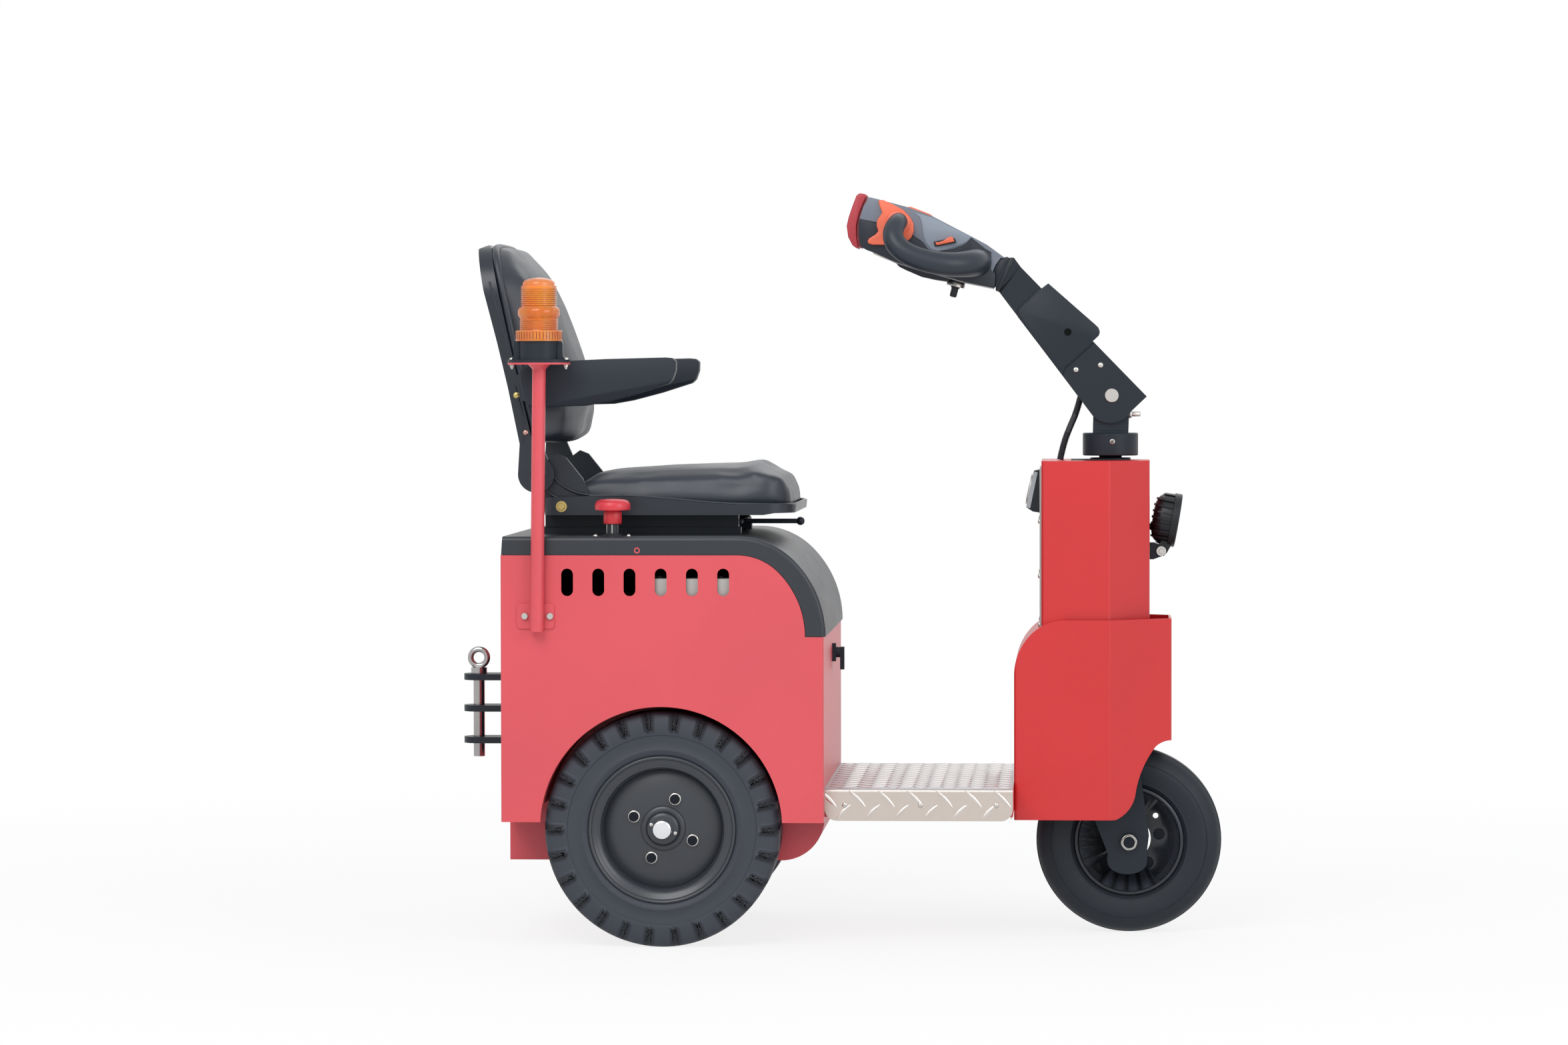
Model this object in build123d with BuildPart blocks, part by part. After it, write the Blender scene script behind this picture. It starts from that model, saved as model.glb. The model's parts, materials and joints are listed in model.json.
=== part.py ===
"""A three-wheeled electric tow tractor that is steered by a tiller, driven from a seat over the battery box."""

# Millimetres. X runs forward, Y to the left and Z up, from the floor under the middle of the rear axle.
# Each finished piece is moved once, on writing, so that the part's own origin is under the middle of its box.

import os
from math import atan2, cos, degrees, hypot, radians, sin

from build123d import *

SIDES = (("right", -1), ("left", 1))

# Wheels
rear_axle_z = 192.5
rear_tyre_radius = 192.5
rear_tyre_half_width = 56.0
rear_bead_half_width = 44.0
rear_track_half = 242.0
rear_bead_radius = 102.0
rear_flange_radius = 121.0
rear_lug_count = 26
rear_lug_gap = 9.5
rear_lug_floor_radius = 164.0
rear_lug_length = 26.0
rear_disc_offset = 22.0
rear_disc_radius = 97.0
wheel_plate = 6.0
wheel_bolt_circle = 52.0
wheel_bolt_hole = 9.5
wheel_bolt_start = 68.0
rear_hub_radius = 36.0
axle_stub_radius = 14.0
axle_tube_radius = 32.0
gear_case_radius = 58.0
gear_case_width = 120.0
motor_x = 68.0
motor_radius = 50.0
motor_height = 140.0
front_axle_x = 763.8
front_tyre_radius = 155.0
front_tyre_half_width = 47.0
front_bead_radius = 76.0
front_flange_radius = 90.0
front_disc_bore = 37.0
front_hub_radius = 24.0
front_hub_half_width = 52.0
front_bolt_circle = 51.3
front_bolt_start = 9.0
front_window_circle = 59.5
front_window_radius = 4.7
front_window_start = 40.7
front_spindle_radius = 10.0

# Rear body
body_half_width = 310.0
panel_thickness = 5.0
panel_bend_radius = 4.0
rear_x = -262.0
front_x = 265.5
body_bottom_z = 206.0
body_top_z = 642.0
nose_bend_x = 125.0
nose_inner_x = 235.4
nose_sill_z = 509.0
flange_width = 30.0
arch_clearance = 5.5
arch_rise = 4.5
arch_corner_radius = 28.0
slot_count = 6
slot_pitch = 51.0
slot_width = 19.6
slot_height = 45.0
slot_row_x = -25.2
slot_row_z = 598.0

# Rear chassis
skirt_half_width = 175.0
skirt_thickness = 8.0
skirt_bottom_z = 132.0
skirt_toe_radius = 72.0
shelf_z = 400.0
shelf_thickness = 4.0
housing_thickness = 3.0
belly_opening_length = 250.0

# Front frame
floor_rail_top_z = 257.0
floor_rail_height = 44.0
floor_rail_width = 10.0
lip_gap = 2.5
beam_half_width = 60.0
neck_x = 586.0
neck_plate_thickness = 8.0
base_plate_z = 345.0
base_plate_thickness = 8.0
head_tube_radius = 28.0

# Footplate
footplate_half_width = 277.5
footplate_thickness = 3.0
footplate_lip = 53.0
footplate_corner_radius = 20.0
footplate_bend_radius = 6.0

# Cowl and column
cowl_half_width = 138.0
cowl_wall = 4.0
cowl_rear_x = 572.8
cowl_crease_x = 731.0
cowl_front_x = 834.5
cowl_front_half_width = 66.0
cowl_top_z = 528.5
cowl_bottom_z = 197.0
cowl_shoulder_x = 656.5
cowl_shoulder_z = 436.5
cowl_front_cut_z = 325.0
column_rear_x = 618.0
column_front_x = 798.0
column_half_width = 125.0
column_front_half_width = 60.0
column_wall = 4.0
column_top_z = 792.0
sheet_bend_radius = 6.0
column_cover_thickness = 3.0

# Steering
steer_x = 733.0
steerer_radius = 19.0
bearing_gap = 0.1
seam_gap = 0.3
crown_z = 2 * front_tyre_radius + 12.0
crown_thickness = 12.0
leg_inner_y = 58.0
leg_thickness = 8.0
collar_radius = 46.4
collar_bottom_z = 799.5
collar_top_z = 837.5
bracket_half_width = 32.0
bracket_plate = 8.0
mast_pivot_x = 734.9
mast_pivot_z = 900.2
mast_pin_radius = 11.5

# Mast and tiller
mast_half_width = 40.0
mast_wall = 5.0
sleeve_wall = 4.0
tiller_half_width = 52.0
tiller_neck_half_width = 34.0
grip_radius = 17.0
throttle_thickness = 12.0

# Hitch
hitch_pin_x = -333.7
hitch_tip_x = -358.7
hitch_half_width = 28.0
hitch_plate = 10.5
hitch_levels = (319.5, 373.0, 426.0)
hitch_back_thickness = 8.0
tow_pin_radius = 9.5
tow_pin_bottom_z = 291.0
tow_hole_gap = 0.6
tow_ring_centre_z = 458.0
tow_ring_turn = 25.0
tow_ring_radius = 14.0
tow_ring_wire = 5.0

# Beacon
beacon_top_x = -196.0
beacon_pole_radius = 11.0
beacon_pole_bottom_z = 518.0
beacon_plate_z = 953.0
beacon_plate_thickness = 3.0
beacon_ring_radius = 38.5
beacon_base_top_z = 991.0
beacon_foot_length = 102.0
beacon_gasket = 5.0
beacon_base_radius = 34.0
pole_foot_x = -201.0
pole_plate_z = 543.0
pole_plate_length = 61.0
pole_plate_height = 41.0
lens_body_radius = 31.0
lens_top_radius = 28.9
lens_rib_pitch = 3.3
lens_rib_depth = 1.2

# Work lamp
lamp_pivot_x = 818.0
lamp_pivot_z = 639.3
lamp_face_x = 844.6
lamp_face_z = 690.0
lamp_tilt = 9.8
lamp_radius = 45.0
lamp_bezel = 10.0
lamp_fin_pitch = 10.6
lamp_fin_slot = 7.4
lamp_fin_depth = 8.0
lamp_bracket_half_width = 14.0
lamp_ear_thickness = 4.0

# Seat deck and seat
deck_gap = 0.5
deck_thickness = 30.0
deck_nose_x = 268.8
latch_z = 468.0
deck_inset = 2.0
deck_edge_radius = 7.0
stop_button_x = -81.0
stop_button_inset = 33.0
hinge_x = -264.8
hinge_z = 643.0
hinge_knuckle_radius = 2.6
stop_guard_radius = 29.4
rail_y = 140.0
rail_width = 24.0
rail_rear_x = -208.0
rail_front_x = 121.0
rail_height = 11.0
slide_gap = 0.5
seat_half_width = 215.0
seat_pan_bottom_z = 705.0
seat_pan_floor = 6.0
ear_inset = 12.0
ear_thickness = 10.0
recline_x = -214.0
recline_z = 772.0
recline_pin_radius = 9.0
knuckle_radius = 30.0
knuckle_gap = 1.0
armrest_gap = 25.2
armrest_width = 37.0
cushion_inset = 30.0
seat_corner_radius = 55.0
backrest_corner_radius = 85.0
cushion_gap = 2.0
seat_front_x = 214.4
armrest_pivot_x = -208.0
armrest_pivot_z = 915.0
armrest_pin_radius = 8.0

# What follows from the sizes above
arch_radius = rear_tyre_radius + arch_clearance
arch_centre_z = rear_axle_z + arch_rise
floor_rail_half_span = footplate_half_width - footplate_thickness - lip_gap
beacon_y = -(body_half_width + beacon_plate_thickness + beacon_pole_radius)
deck_half_width = body_half_width - deck_inset
stop_button_y = -(deck_half_width - stop_button_inset)
ear_outer_y = seat_half_width - ear_inset
armrest_outer_y = seat_half_width + armrest_gap + armrest_width
leg_outer_y = leg_inner_y + leg_thickness

# The part's own frame has its origin on the floor under the middle of the tractor's box.
overall_front_x = front_axle_x + front_tyre_radius
overall_right_y = beacon_y - beacon_ring_radius
TO_FRAME = Location((-(hitch_tip_x + overall_front_x) / 2, -(overall_right_y + body_half_width) / 2, 0))


def save(piece, name):
    """Name a finished piece, move it into the part's own frame and write it."""
    placed = piece.part.moved(TO_FRAME)
    placed.label = name
    export_step(placed, f"parts/{name}.step")


def side_plane(y):
    """A plane that looks from the right, with X across and Z up, at the given Y."""
    return Plane.XZ.offset(-y)


def two_arc_turn(start, heading, ahead, aside):
    """Two tangent arcs that turn right by a quarter, ending that far ahead of and aside from their start."""
    half = sin(radians(45))
    first_radius = (aside * (1 - half) - ahead * half) / ((1 - half) ** 2 - half**2)
    second_radius = (ahead - first_radius * half) / (1 - half)
    first = JernArc(start, heading, first_radius, -45)
    JernArc(first @ 1, first % 1, second_radius, -45)


def rounded_outline(low_corner, high_corner, low_radius, high_radius, along_x=True):
    """A rectangle in a sketch, with one corner radius at its low end and another at its high end."""
    (left, bottom), (right, top) = low_corner, high_corner
    ends = (low_radius, high_radius, high_radius, low_radius) if along_x else (
        low_radius, low_radius, high_radius, high_radius
    )
    with BuildLine() as outline:
        FilletPolyline((left, bottom), (right, bottom), (right, top), (left, top), radius=ends, close=True)
    make_face(outline.edges())


def column_outline(inset):
    """The column's plan inside a sketch: a flat back, a crease on each side and a narrower front."""
    wide = column_half_width - inset
    narrow = column_front_half_width - inset * 0.6
    with BuildLine() as plan:
        FilletPolyline(
            (column_rear_x + inset, -wide),
            (cowl_crease_x - inset * 0.3, -wide),
            (column_front_x - inset, -narrow),
            (column_front_x - inset, narrow),
            (cowl_crease_x - inset * 0.3, wide),
            (column_rear_x + inset, wide),
            radius=max(sheet_bend_radius - inset, 1),
            close=True,
        )
    make_face(plan.edges())


def cowl_outline(inset):
    """The cowl's plan inside a sketch, wider than the column and of the same kind."""
    wide = cowl_half_width - inset
    narrow = cowl_front_half_width - inset * 0.5
    with BuildLine() as plan:
        FilletPolyline(
            (cowl_rear_x + inset, -wide),
            (cowl_crease_x - inset * 0.3, -wide),
            (cowl_front_x - inset, -narrow),
            (cowl_front_x - inset, narrow),
            (cowl_crease_x - inset * 0.3, wide),
            (cowl_rear_x + inset, wide),
            radius=max(sheet_bend_radius - inset, 1),
            close=True,
        )
    make_face(plan.edges())


os.makedirs("parts", exist_ok=True)

# Side panels: folded sheet with the wheel arch, six cooling slots and a rounded shoulder for the deck
for side, sign in SIDES:
    with BuildPart() as side_panel:
        with BuildSketch(side_plane(sign * body_half_width)) as panel_face:
            with BuildLine():
                top = Line((rear_x, body_top_z), (nose_bend_x, body_top_z))
                two_arc_turn(top @ 1, (1, 0), nose_inner_x - nose_bend_x, body_top_z - nose_sill_z)
                Polyline(
                    (nose_inner_x, nose_sill_z),
                    (front_x, nose_sill_z),
                    (front_x, body_bottom_z),
                    (rear_x, body_bottom_z),
                    (rear_x, body_top_z),
                )
            make_face()
            with Locations((0, arch_centre_z)):
                Circle(arch_radius, mode=Mode.SUBTRACT)
            arch_foot = panel_face.vertices().filter_by(lambda v: abs(abs(v.X) - arch_radius) < 10)
            fillet(arch_foot.filter_by(lambda v: abs(v.Z - body_bottom_z) < 1), arch_corner_radius)
            with Locations((slot_row_x, slot_row_z)):
                with GridLocations(slot_pitch, 0, slot_count, 1):
                    SlotOverall(slot_height, slot_width, rotation=90, mode=Mode.SUBTRACT)
        extrude(amount=sign * panel_thickness)
        outer_face = side_panel.faces().sort_by(Axis.Y)[0 if sign < 0 else -1]
        upright = outer_face.edges().filter_by(Axis.Z)
        fillet(upright.sort_by(Axis.X)[0], panel_bend_radius)
        outer_face = side_panel.faces().sort_by(Axis.Y)[0 if sign < 0 else -1]
        fillet(outer_face.edges().filter_by(Axis.Z).sort_by(Axis.X)[-1], panel_bend_radius)
    save(side_panel, f"side_panel_{side}")

panel_inner_y = body_half_width - panel_thickness
panel_inner_x = front_x - panel_thickness
panel_inner_rear_x = rear_x + panel_thickness

# End panels: each has a flange at its top that the deck lies on
with BuildPart() as rear_panel:
    with BuildSketch(side_plane(0)):
        with BuildLine():
            Polyline(
                (rear_x, body_bottom_z),
                (rear_x, body_top_z),
                (rear_x + flange_width, body_top_z),
                (rear_x + flange_width, body_top_z - panel_thickness),
                (panel_inner_rear_x, body_top_z - panel_thickness),
                (panel_inner_rear_x, body_bottom_z),
                close=True,
            )
        make_face()
    extrude(amount=panel_inner_y, both=True)
save(rear_panel, "rear_panel")

with BuildPart() as front_panel:
    with BuildSketch(side_plane(0)):
        with BuildLine():
            Polyline(
                (front_x, body_bottom_z),
                (front_x, nose_sill_z),
                (nose_inner_x, nose_sill_z),
                (nose_inner_x, nose_sill_z - panel_thickness),
                (panel_inner_x, nose_sill_z - panel_thickness),
                (panel_inner_x, body_bottom_z),
                close=True,
            )
        make_face()
    extrude(amount=panel_inner_y, both=True)
save(front_panel, "front_panel")

# Rear chassis: two skirt plates, their ends, the battery shelf and a curved housing over each wheel
skirt_inner_y = skirt_half_width - skirt_thickness
with BuildPart() as chassis_frame:
    with BuildSketch(side_plane(0)):
        with BuildLine():
            Polyline(
                (panel_inner_rear_x, shelf_z),
                (panel_inner_rear_x, body_bottom_z),
                (rear_x, body_bottom_z),
                (rear_x, skirt_bottom_z),
                (panel_inner_x - skirt_toe_radius, skirt_bottom_z),
            )
            JernArc((panel_inner_x - skirt_toe_radius, skirt_bottom_z), (1, 0), skirt_toe_radius, 90)
            Polyline(
                (panel_inner_x, skirt_bottom_z + skirt_toe_radius),
                (panel_inner_x, shelf_z),
                (panel_inner_rear_x, shelf_z),
            )
        make_face()
    extrude(amount=skirt_half_width, both=True)
    with BuildSketch(side_plane(0)):
        with BuildLine():
            inner_toe = skirt_toe_radius - skirt_thickness
            Polyline(
                (panel_inner_rear_x + skirt_thickness, shelf_z),
                (panel_inner_rear_x + skirt_thickness, skirt_bottom_z + skirt_thickness),
                (panel_inner_x - skirt_toe_radius, skirt_bottom_z + skirt_thickness),
            )
            JernArc((panel_inner_x - skirt_toe_radius, skirt_bottom_z + skirt_thickness), (1, 0), inner_toe, 90)
            Polyline(
                (panel_inner_x - skirt_thickness, skirt_bottom_z + skirt_toe_radius),
                (panel_inner_x - skirt_thickness, shelf_z),
                (panel_inner_rear_x + skirt_thickness, shelf_z),
            )
        make_face()
    extrude(amount=skirt_inner_y, both=True, mode=Mode.SUBTRACT)
    with Locations((0, 0, skirt_bottom_z)):
        Box(belly_opening_length, 2 * skirt_inner_y, 4 * skirt_thickness, mode=Mode.SUBTRACT)
    with BuildSketch(Plane.XY.offset(shelf_z)):
        shelf_length = panel_inner_x - panel_inner_rear_x
        with Locations((panel_inner_rear_x + shelf_length / 2, 0)):
            Rectangle(shelf_length, 2 * panel_inner_y)
    extrude(amount=shelf_thickness)
    for _, sign in SIDES:
        with BuildSketch(side_plane(sign * skirt_half_width)):
            with Locations((0, arch_centre_z)):
                Circle(arch_radius + housing_thickness)
                Circle(arch_radius, mode=Mode.SUBTRACT)
            with Locations((0, body_bottom_z + arch_corner_radius)):
                Rectangle(
                    3 * arch_radius, 2 * arch_radius, align=(Align.CENTER, Align.MAX), mode=Mode.SUBTRACT
                )
        extrude(amount=-sign * (panel_inner_y - skirt_half_width))
    with Locations((0, 0, rear_axle_z)):
        Cylinder(axle_tube_radius, 2 * skirt_half_width, rotation=(90, 0, 0), mode=Mode.SUBTRACT)
save(chassis_frame, "chassis_frame")

# Drive axle: a housing between the skirts with a tube and a stub out to each wheel, and its motor
axle_tube_end_y = rear_track_half - 45.0
stub_end_y = rear_track_half + 14.0
with BuildPart() as rear_axle:
    with Locations((0, 0, rear_axle_z)):
        Cylinder(axle_tube_radius, 2 * axle_tube_end_y, rotation=(90, 0, 0))
        Cylinder(axle_stub_radius, 2 * stub_end_y, rotation=(90, 0, 0))
        Cylinder(gear_case_radius, gear_case_width, rotation=(90, 0, 0))
    with Locations((motor_x, 0, rear_axle_z)):
        Box(motor_radius * 2 + 6, gear_case_width - 20, 2 * gear_case_radius + 2)
save(rear_axle, "rear_axle")

with BuildPart() as drive_motor:
    with Locations((motor_x, 0, rear_axle_z + gear_case_radius + 1)):
        Cylinder(motor_radius, motor_height, align=(Align.CENTER, Align.CENTER, Align.MIN))
save(drive_motor, "drive_motor")

# Battery: one block on the shelf
with BuildPart() as battery_pack:
    with Locations((78, 0, shelf_z + shelf_thickness)):
        Box(210, 520, 190, align=(Align.CENTER, Align.CENTER, Align.MIN))
    fillet(battery_pack.edges().filter_by(Axis.Z), 6)
save(battery_pack, "battery_pack")

# Hitch: three eye plates on a back plate, and the tow pin with its lifting ring
with BuildPart() as hitch_bracket:
    hitch_rear_x = rear_x - hitch_back_thickness
    for level in hitch_levels:
        with BuildSketch(Plane.XY.offset(level - hitch_plate / 2)):
            tongue_end = hitch_tip_x + hitch_half_width
            with BuildLine():
                Line((hitch_rear_x, -hitch_half_width), (tongue_end, -hitch_half_width))
                JernArc((tongue_end, -hitch_half_width), (-1, 0), hitch_half_width, -180)
                Polyline(
                    (tongue_end, hitch_half_width),
                    (hitch_rear_x, hitch_half_width),
                    (hitch_rear_x, -hitch_half_width),
                )
            make_face()
            with Locations((hitch_pin_x, 0)):
                Circle(tow_pin_radius + tow_hole_gap, mode=Mode.SUBTRACT)
        extrude(amount=hitch_plate)
    hitch_back_height = hitch_levels[2] - hitch_levels[0] + 50
    with Locations((rear_x, 0, hitch_levels[1])):
        Box(
            hitch_back_thickness, 90, hitch_back_height, align=(Align.MAX, Align.CENTER, Align.CENTER)
        )
save(hitch_bracket, "hitch_bracket")

pin_top_z = hitch_levels[2] + hitch_plate / 2 + bearing_gap
with BuildPart() as tow_pin:
    with Locations((hitch_pin_x, 0, tow_pin_bottom_z)):
        Cylinder(tow_pin_radius, pin_top_z - tow_pin_bottom_z, align=(Align.CENTER, Align.CENTER, Align.MIN))
    with Locations((hitch_pin_x, 0, pin_top_z)):
        Cylinder(tow_pin_radius + 4, 10, align=(Align.CENTER, Align.CENTER, Align.MIN))
    with Locations((hitch_pin_x, 0, tow_ring_centre_z)):
        Torus(tow_ring_radius, tow_ring_wire, rotation=(90, 0, tow_ring_turn))
save(tow_pin, "tow_pin")

# Front frame: floor rails and a beam under the footplate, a neck behind the wheel, and the steering head tube
rail_bottom_z = floor_rail_top_z - floor_rail_height
with BuildPart() as front_frame:
    with BuildSketch(Plane.XY.offset(rail_bottom_z)):
        with BuildLine():
            Polyline(
                (front_x, -floor_rail_half_span),
                (cowl_rear_x, -floor_rail_half_span),
                (cowl_rear_x, floor_rail_half_span),
                (front_x, floor_rail_half_span),
                close=True,
            )
        make_face()
        for _, sign in SIDES:
            inner = floor_rail_half_span - floor_rail_width
            middle_y = sign * (inner + beam_half_width) / 2
            with Locations(((front_x + cowl_rear_x) / 2, middle_y)):
                Rectangle(
                    cowl_rear_x - front_x - 2 * floor_rail_width, inner - beam_half_width, mode=Mode.SUBTRACT
                )
        with Locations(((cowl_rear_x + neck_x) / 2, 0)):
            Rectangle(neck_x - cowl_rear_x + 1, 2 * beam_half_width)
    extrude(amount=floor_rail_height)
    with Locations((neck_x, 0, rail_bottom_z)):
        Box(
            neck_plate_thickness,
            2 * beam_half_width,
            base_plate_z - rail_bottom_z + base_plate_thickness,
            align=(Align.MAX, Align.CENTER, Align.MIN),
        )
    with BuildSketch(Plane.XY.offset(base_plate_z)):
        with Locations((neck_x - neck_plate_thickness, 0)):
            Rectangle(
                column_front_x - column_wall - neck_x + neck_plate_thickness,
                2 * column_front_half_width - 10,
                align=(Align.MIN, Align.CENTER),
            )
    extrude(amount=base_plate_thickness)
    with Locations((steer_x, 0, base_plate_z)):
        tube_height = column_top_z - column_wall - base_plate_z
        Cylinder(head_tube_radius, tube_height, align=(Align.CENTER, Align.CENTER, Align.MIN))
        Cylinder(
            steerer_radius + bearing_gap, 3 * tube_height, mode=Mode.SUBTRACT
        )
save(front_frame, "front_frame")

# Footplate: chequered sheet over the rails with a lip bent down each side
with BuildPart() as footplate:
    with BuildSketch(Plane.YZ.offset(front_x)):
        top = floor_rail_top_z + footplate_thickness
        Polygon(
            (-footplate_half_width, top - footplate_lip),
            (-footplate_half_width, top),
            (footplate_half_width, top),
            (footplate_half_width, top - footplate_lip),
            (footplate_half_width - footplate_thickness, top - footplate_lip),
            (footplate_half_width - footplate_thickness, floor_rail_top_z),
            (footplate_thickness - footplate_half_width, floor_rail_top_z),
            (footplate_thickness - footplate_half_width, top - footplate_lip),
            align=None,
        )
    extrude(amount=cowl_rear_x - front_x)
    top_edges = footplate.edges().filter_by(Axis.X).group_by(Axis.Z)[-1]
    fillet(top_edges, footplate_bend_radius)
    for _, sign in SIDES:
        for corner_x in (front_x, cowl_rear_x):
            feet = footplate.edges().filter_by(Axis.Y).filter_by(
                lambda e: abs(e.center().X - corner_x) < 1
                and e.center().Z < floor_rail_top_z - footplate_lip / 2
                and e.center().Y * sign > 0
            )
            fillet(feet, footplate_corner_radius)
save(footplate, "footplate")

# Column shell: sheet folded to the column's plan, closed at its top round the steering head
with BuildPart() as column_shell:
    column_bottom_z = base_plate_z + base_plate_thickness
    with BuildSketch(Plane.XY.offset(column_bottom_z)):
        column_outline(0)
    extrude(amount=column_top_z - column_bottom_z)
    with BuildSketch(Plane.XY.offset(column_bottom_z)):
        column_outline(column_wall)
    extrude(amount=column_top_z - column_wall - column_bottom_z, mode=Mode.SUBTRACT)
    with Locations((steer_x, 0, column_top_z)):
        Cylinder(steerer_radius + bearing_gap, 4 * column_wall, mode=Mode.SUBTRACT)
save(column_shell, "column_shell")

with BuildPart() as column_back_cover:
    cover_bottom_z = cowl_top_z - 14
    with Locations((column_rear_x, 0, cover_bottom_z)):
        Box(
            column_cover_thickness,
            2 * column_half_width - 16,
            column_top_z - 12 - cover_bottom_z,
            align=(Align.MAX, Align.CENTER, Align.MIN),
        )
save(column_back_cover, "column_back_cover")

# Cowl: a wide apron round the column's foot and over the wheel, cut away below in an S
def cowl_side(inset):
    """The cowl's side view in a sketch: a curved shoulder behind, and the S cut over the wheel in front."""
    rear = cowl_rear_x + inset
    rise = cowl_top_z - cowl_shoulder_z
    run = cowl_shoulder_x - cowl_rear_x
    open_top = cowl_top_z + 40
    with BuildLine() as view:
        Line((rear, cowl_bottom_z - inset), (rear, cowl_shoulder_z))
        two_arc_turn((rear, cowl_shoulder_z), (0, 1), rise - inset, run - inset)
        Polyline((cowl_shoulder_x, cowl_top_z - inset), (cowl_shoulder_x, open_top), (cowl_front_x + 1, open_top))
        Polyline(
            (cowl_front_x + 1, open_top),
            (cowl_front_x + 1, cowl_bottom_z - inset),
            (rear, cowl_bottom_z - inset),
        )
    make_face(view.edges())


with BuildPart() as front_cowl:
    with BuildSketch(Plane.XY.offset(cowl_bottom_z)):
        cowl_outline(0)
    extrude(amount=cowl_top_z - cowl_bottom_z)
    with BuildSketch(side_plane(0)):
        cowl_side(0)
    extrude(amount=cowl_half_width + 5, both=True, mode=Mode.INTERSECT)
    with BuildPart(mode=Mode.PRIVATE) as cowl_room:
        with BuildSketch(Plane.XY.offset(cowl_bottom_z - cowl_wall)):
            cowl_outline(cowl_wall)
        extrude(amount=cowl_top_z - cowl_bottom_z + 60)
        with BuildSketch(side_plane(0)):
            cowl_side(cowl_wall)
        extrude(amount=cowl_half_width, both=True, mode=Mode.INTERSECT)
    add(cowl_room.part, mode=Mode.SUBTRACT)
    with BuildSketch(Plane.XY.offset(cowl_top_z - 3 * cowl_wall)):
        cowl_outline(cowl_wall)
        with Locations((cowl_crease_x, 0)):
            Rectangle(cowl_front_x, 3 * cowl_half_width, align=(Align.MAX, Align.CENTER), mode=Mode.SUBTRACT)
    extrude(amount=6 * cowl_wall, mode=Mode.SUBTRACT)
    with BuildSketch(side_plane(0)):
        with BuildLine():
            Line((cowl_front_x + 2, cowl_bottom_z - 2), (741.0, cowl_bottom_z - 2))
            Line((741.0, cowl_bottom_z - 2), (741.0, cowl_bottom_z))
            ThreePointArc((741.0, cowl_bottom_z), (763.0, 213.0), (774.0, 238.0))
            ThreePointArc((774.0, 238.0), (786.0, 280.0), (808.0, 316.0))
            ThreePointArc((808.0, 316.0), (820.0, 323.0), (cowl_front_x + 2, cowl_front_cut_z))
            Line((cowl_front_x + 2, cowl_front_cut_z), (cowl_front_x + 2, cowl_bottom_z - 2))
        make_face()
    extrude(amount=cowl_half_width + 5, both=True, mode=Mode.SUBTRACT)
    with BuildSketch(Plane.XY.offset(cowl_shoulder_z)):
        column_outline(-seam_gap)
        with Locations((column_rear_x, 0)):
            Rectangle(2 * (column_cover_thickness + seam_gap), 2 * column_half_width)
    extrude(amount=200, mode=Mode.SUBTRACT)
    with Locations((cowl_rear_x, 0, cowl_bottom_z - 1)):
        Box(
            4 * cowl_wall,
            2 * (beam_half_width + seam_gap),
            floor_rail_top_z + seam_gap - cowl_bottom_z + 1,
            align=(Align.CENTER, Align.CENTER, Align.MIN),
            mode=Mode.SUBTRACT,
        )
save(front_cowl, "front_cowl")

# Charge gauge on the column's back, under a tilted clear cover
with BuildPart() as charge_gauge:
    with BuildSketch(side_plane(0)):
        with BuildLine():
            Polyline(
                (column_rear_x - column_cover_thickness, 776),
                (605, 774),
                (592, 713),
                (603, 706),
                (column_rear_x - column_cover_thickness, 704),
                close=True,
            )
        make_face()
    extrude(amount=32, both=True)
save(charge_gauge, "charge_gauge")

# Work lamp on a bracket at the column's front
with BuildPart() as headlamp_bracket:
    with BuildSketch(side_plane(0)):
        Polygon(
            (column_front_x, lamp_pivot_z + 14), (lamp_pivot_x - 12.3, lamp_pivot_z + 14),
            (lamp_pivot_x - 3, lamp_pivot_z + 10.6), (lamp_pivot_x + 7, lamp_pivot_z + 6),
            (lamp_pivot_x + 9.5, lamp_pivot_z - 1), (lamp_pivot_x + 3.4, lamp_pivot_z - 7.8),
            (lamp_pivot_x - 13, lamp_pivot_z - 14), (column_front_x, lamp_pivot_z - 14),
            align=None,
        )
    extrude(amount=lamp_bracket_half_width, both=True)
save(headlamp_bracket, "headlamp_bracket")

lamp_axis = Vector(cos(radians(lamp_tilt)), 0, -sin(radians(lamp_tilt)))
lamp_plane = Plane(origin=(lamp_face_x, 0, lamp_face_z), x_dir=(0, 1, 0), z_dir=lamp_axis)
# Each row is a point of the bowl's side: how far behind the face, and out from the lamp's axis.
bowl_section = ((lamp_bezel, 1.5), (26, 2), (34.8, 5.5), (39.8, 12.5), (42.6, 23.5), (43.2, lamp_radius))


def lamp_bowl(inset):
    """The lamp's bowl in a sketch beside its axis, drawn that far inside its outer skin."""
    side = [(lamp_radius - cut - inset, -back + inset) for back, cut in bowl_section[:-1]]
    last_back = -bowl_section[-1][0] + inset
    Polygon((0, -1), (lamp_radius - 1.5 - inset, -1), *side, (0, last_back), align=None)


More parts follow.
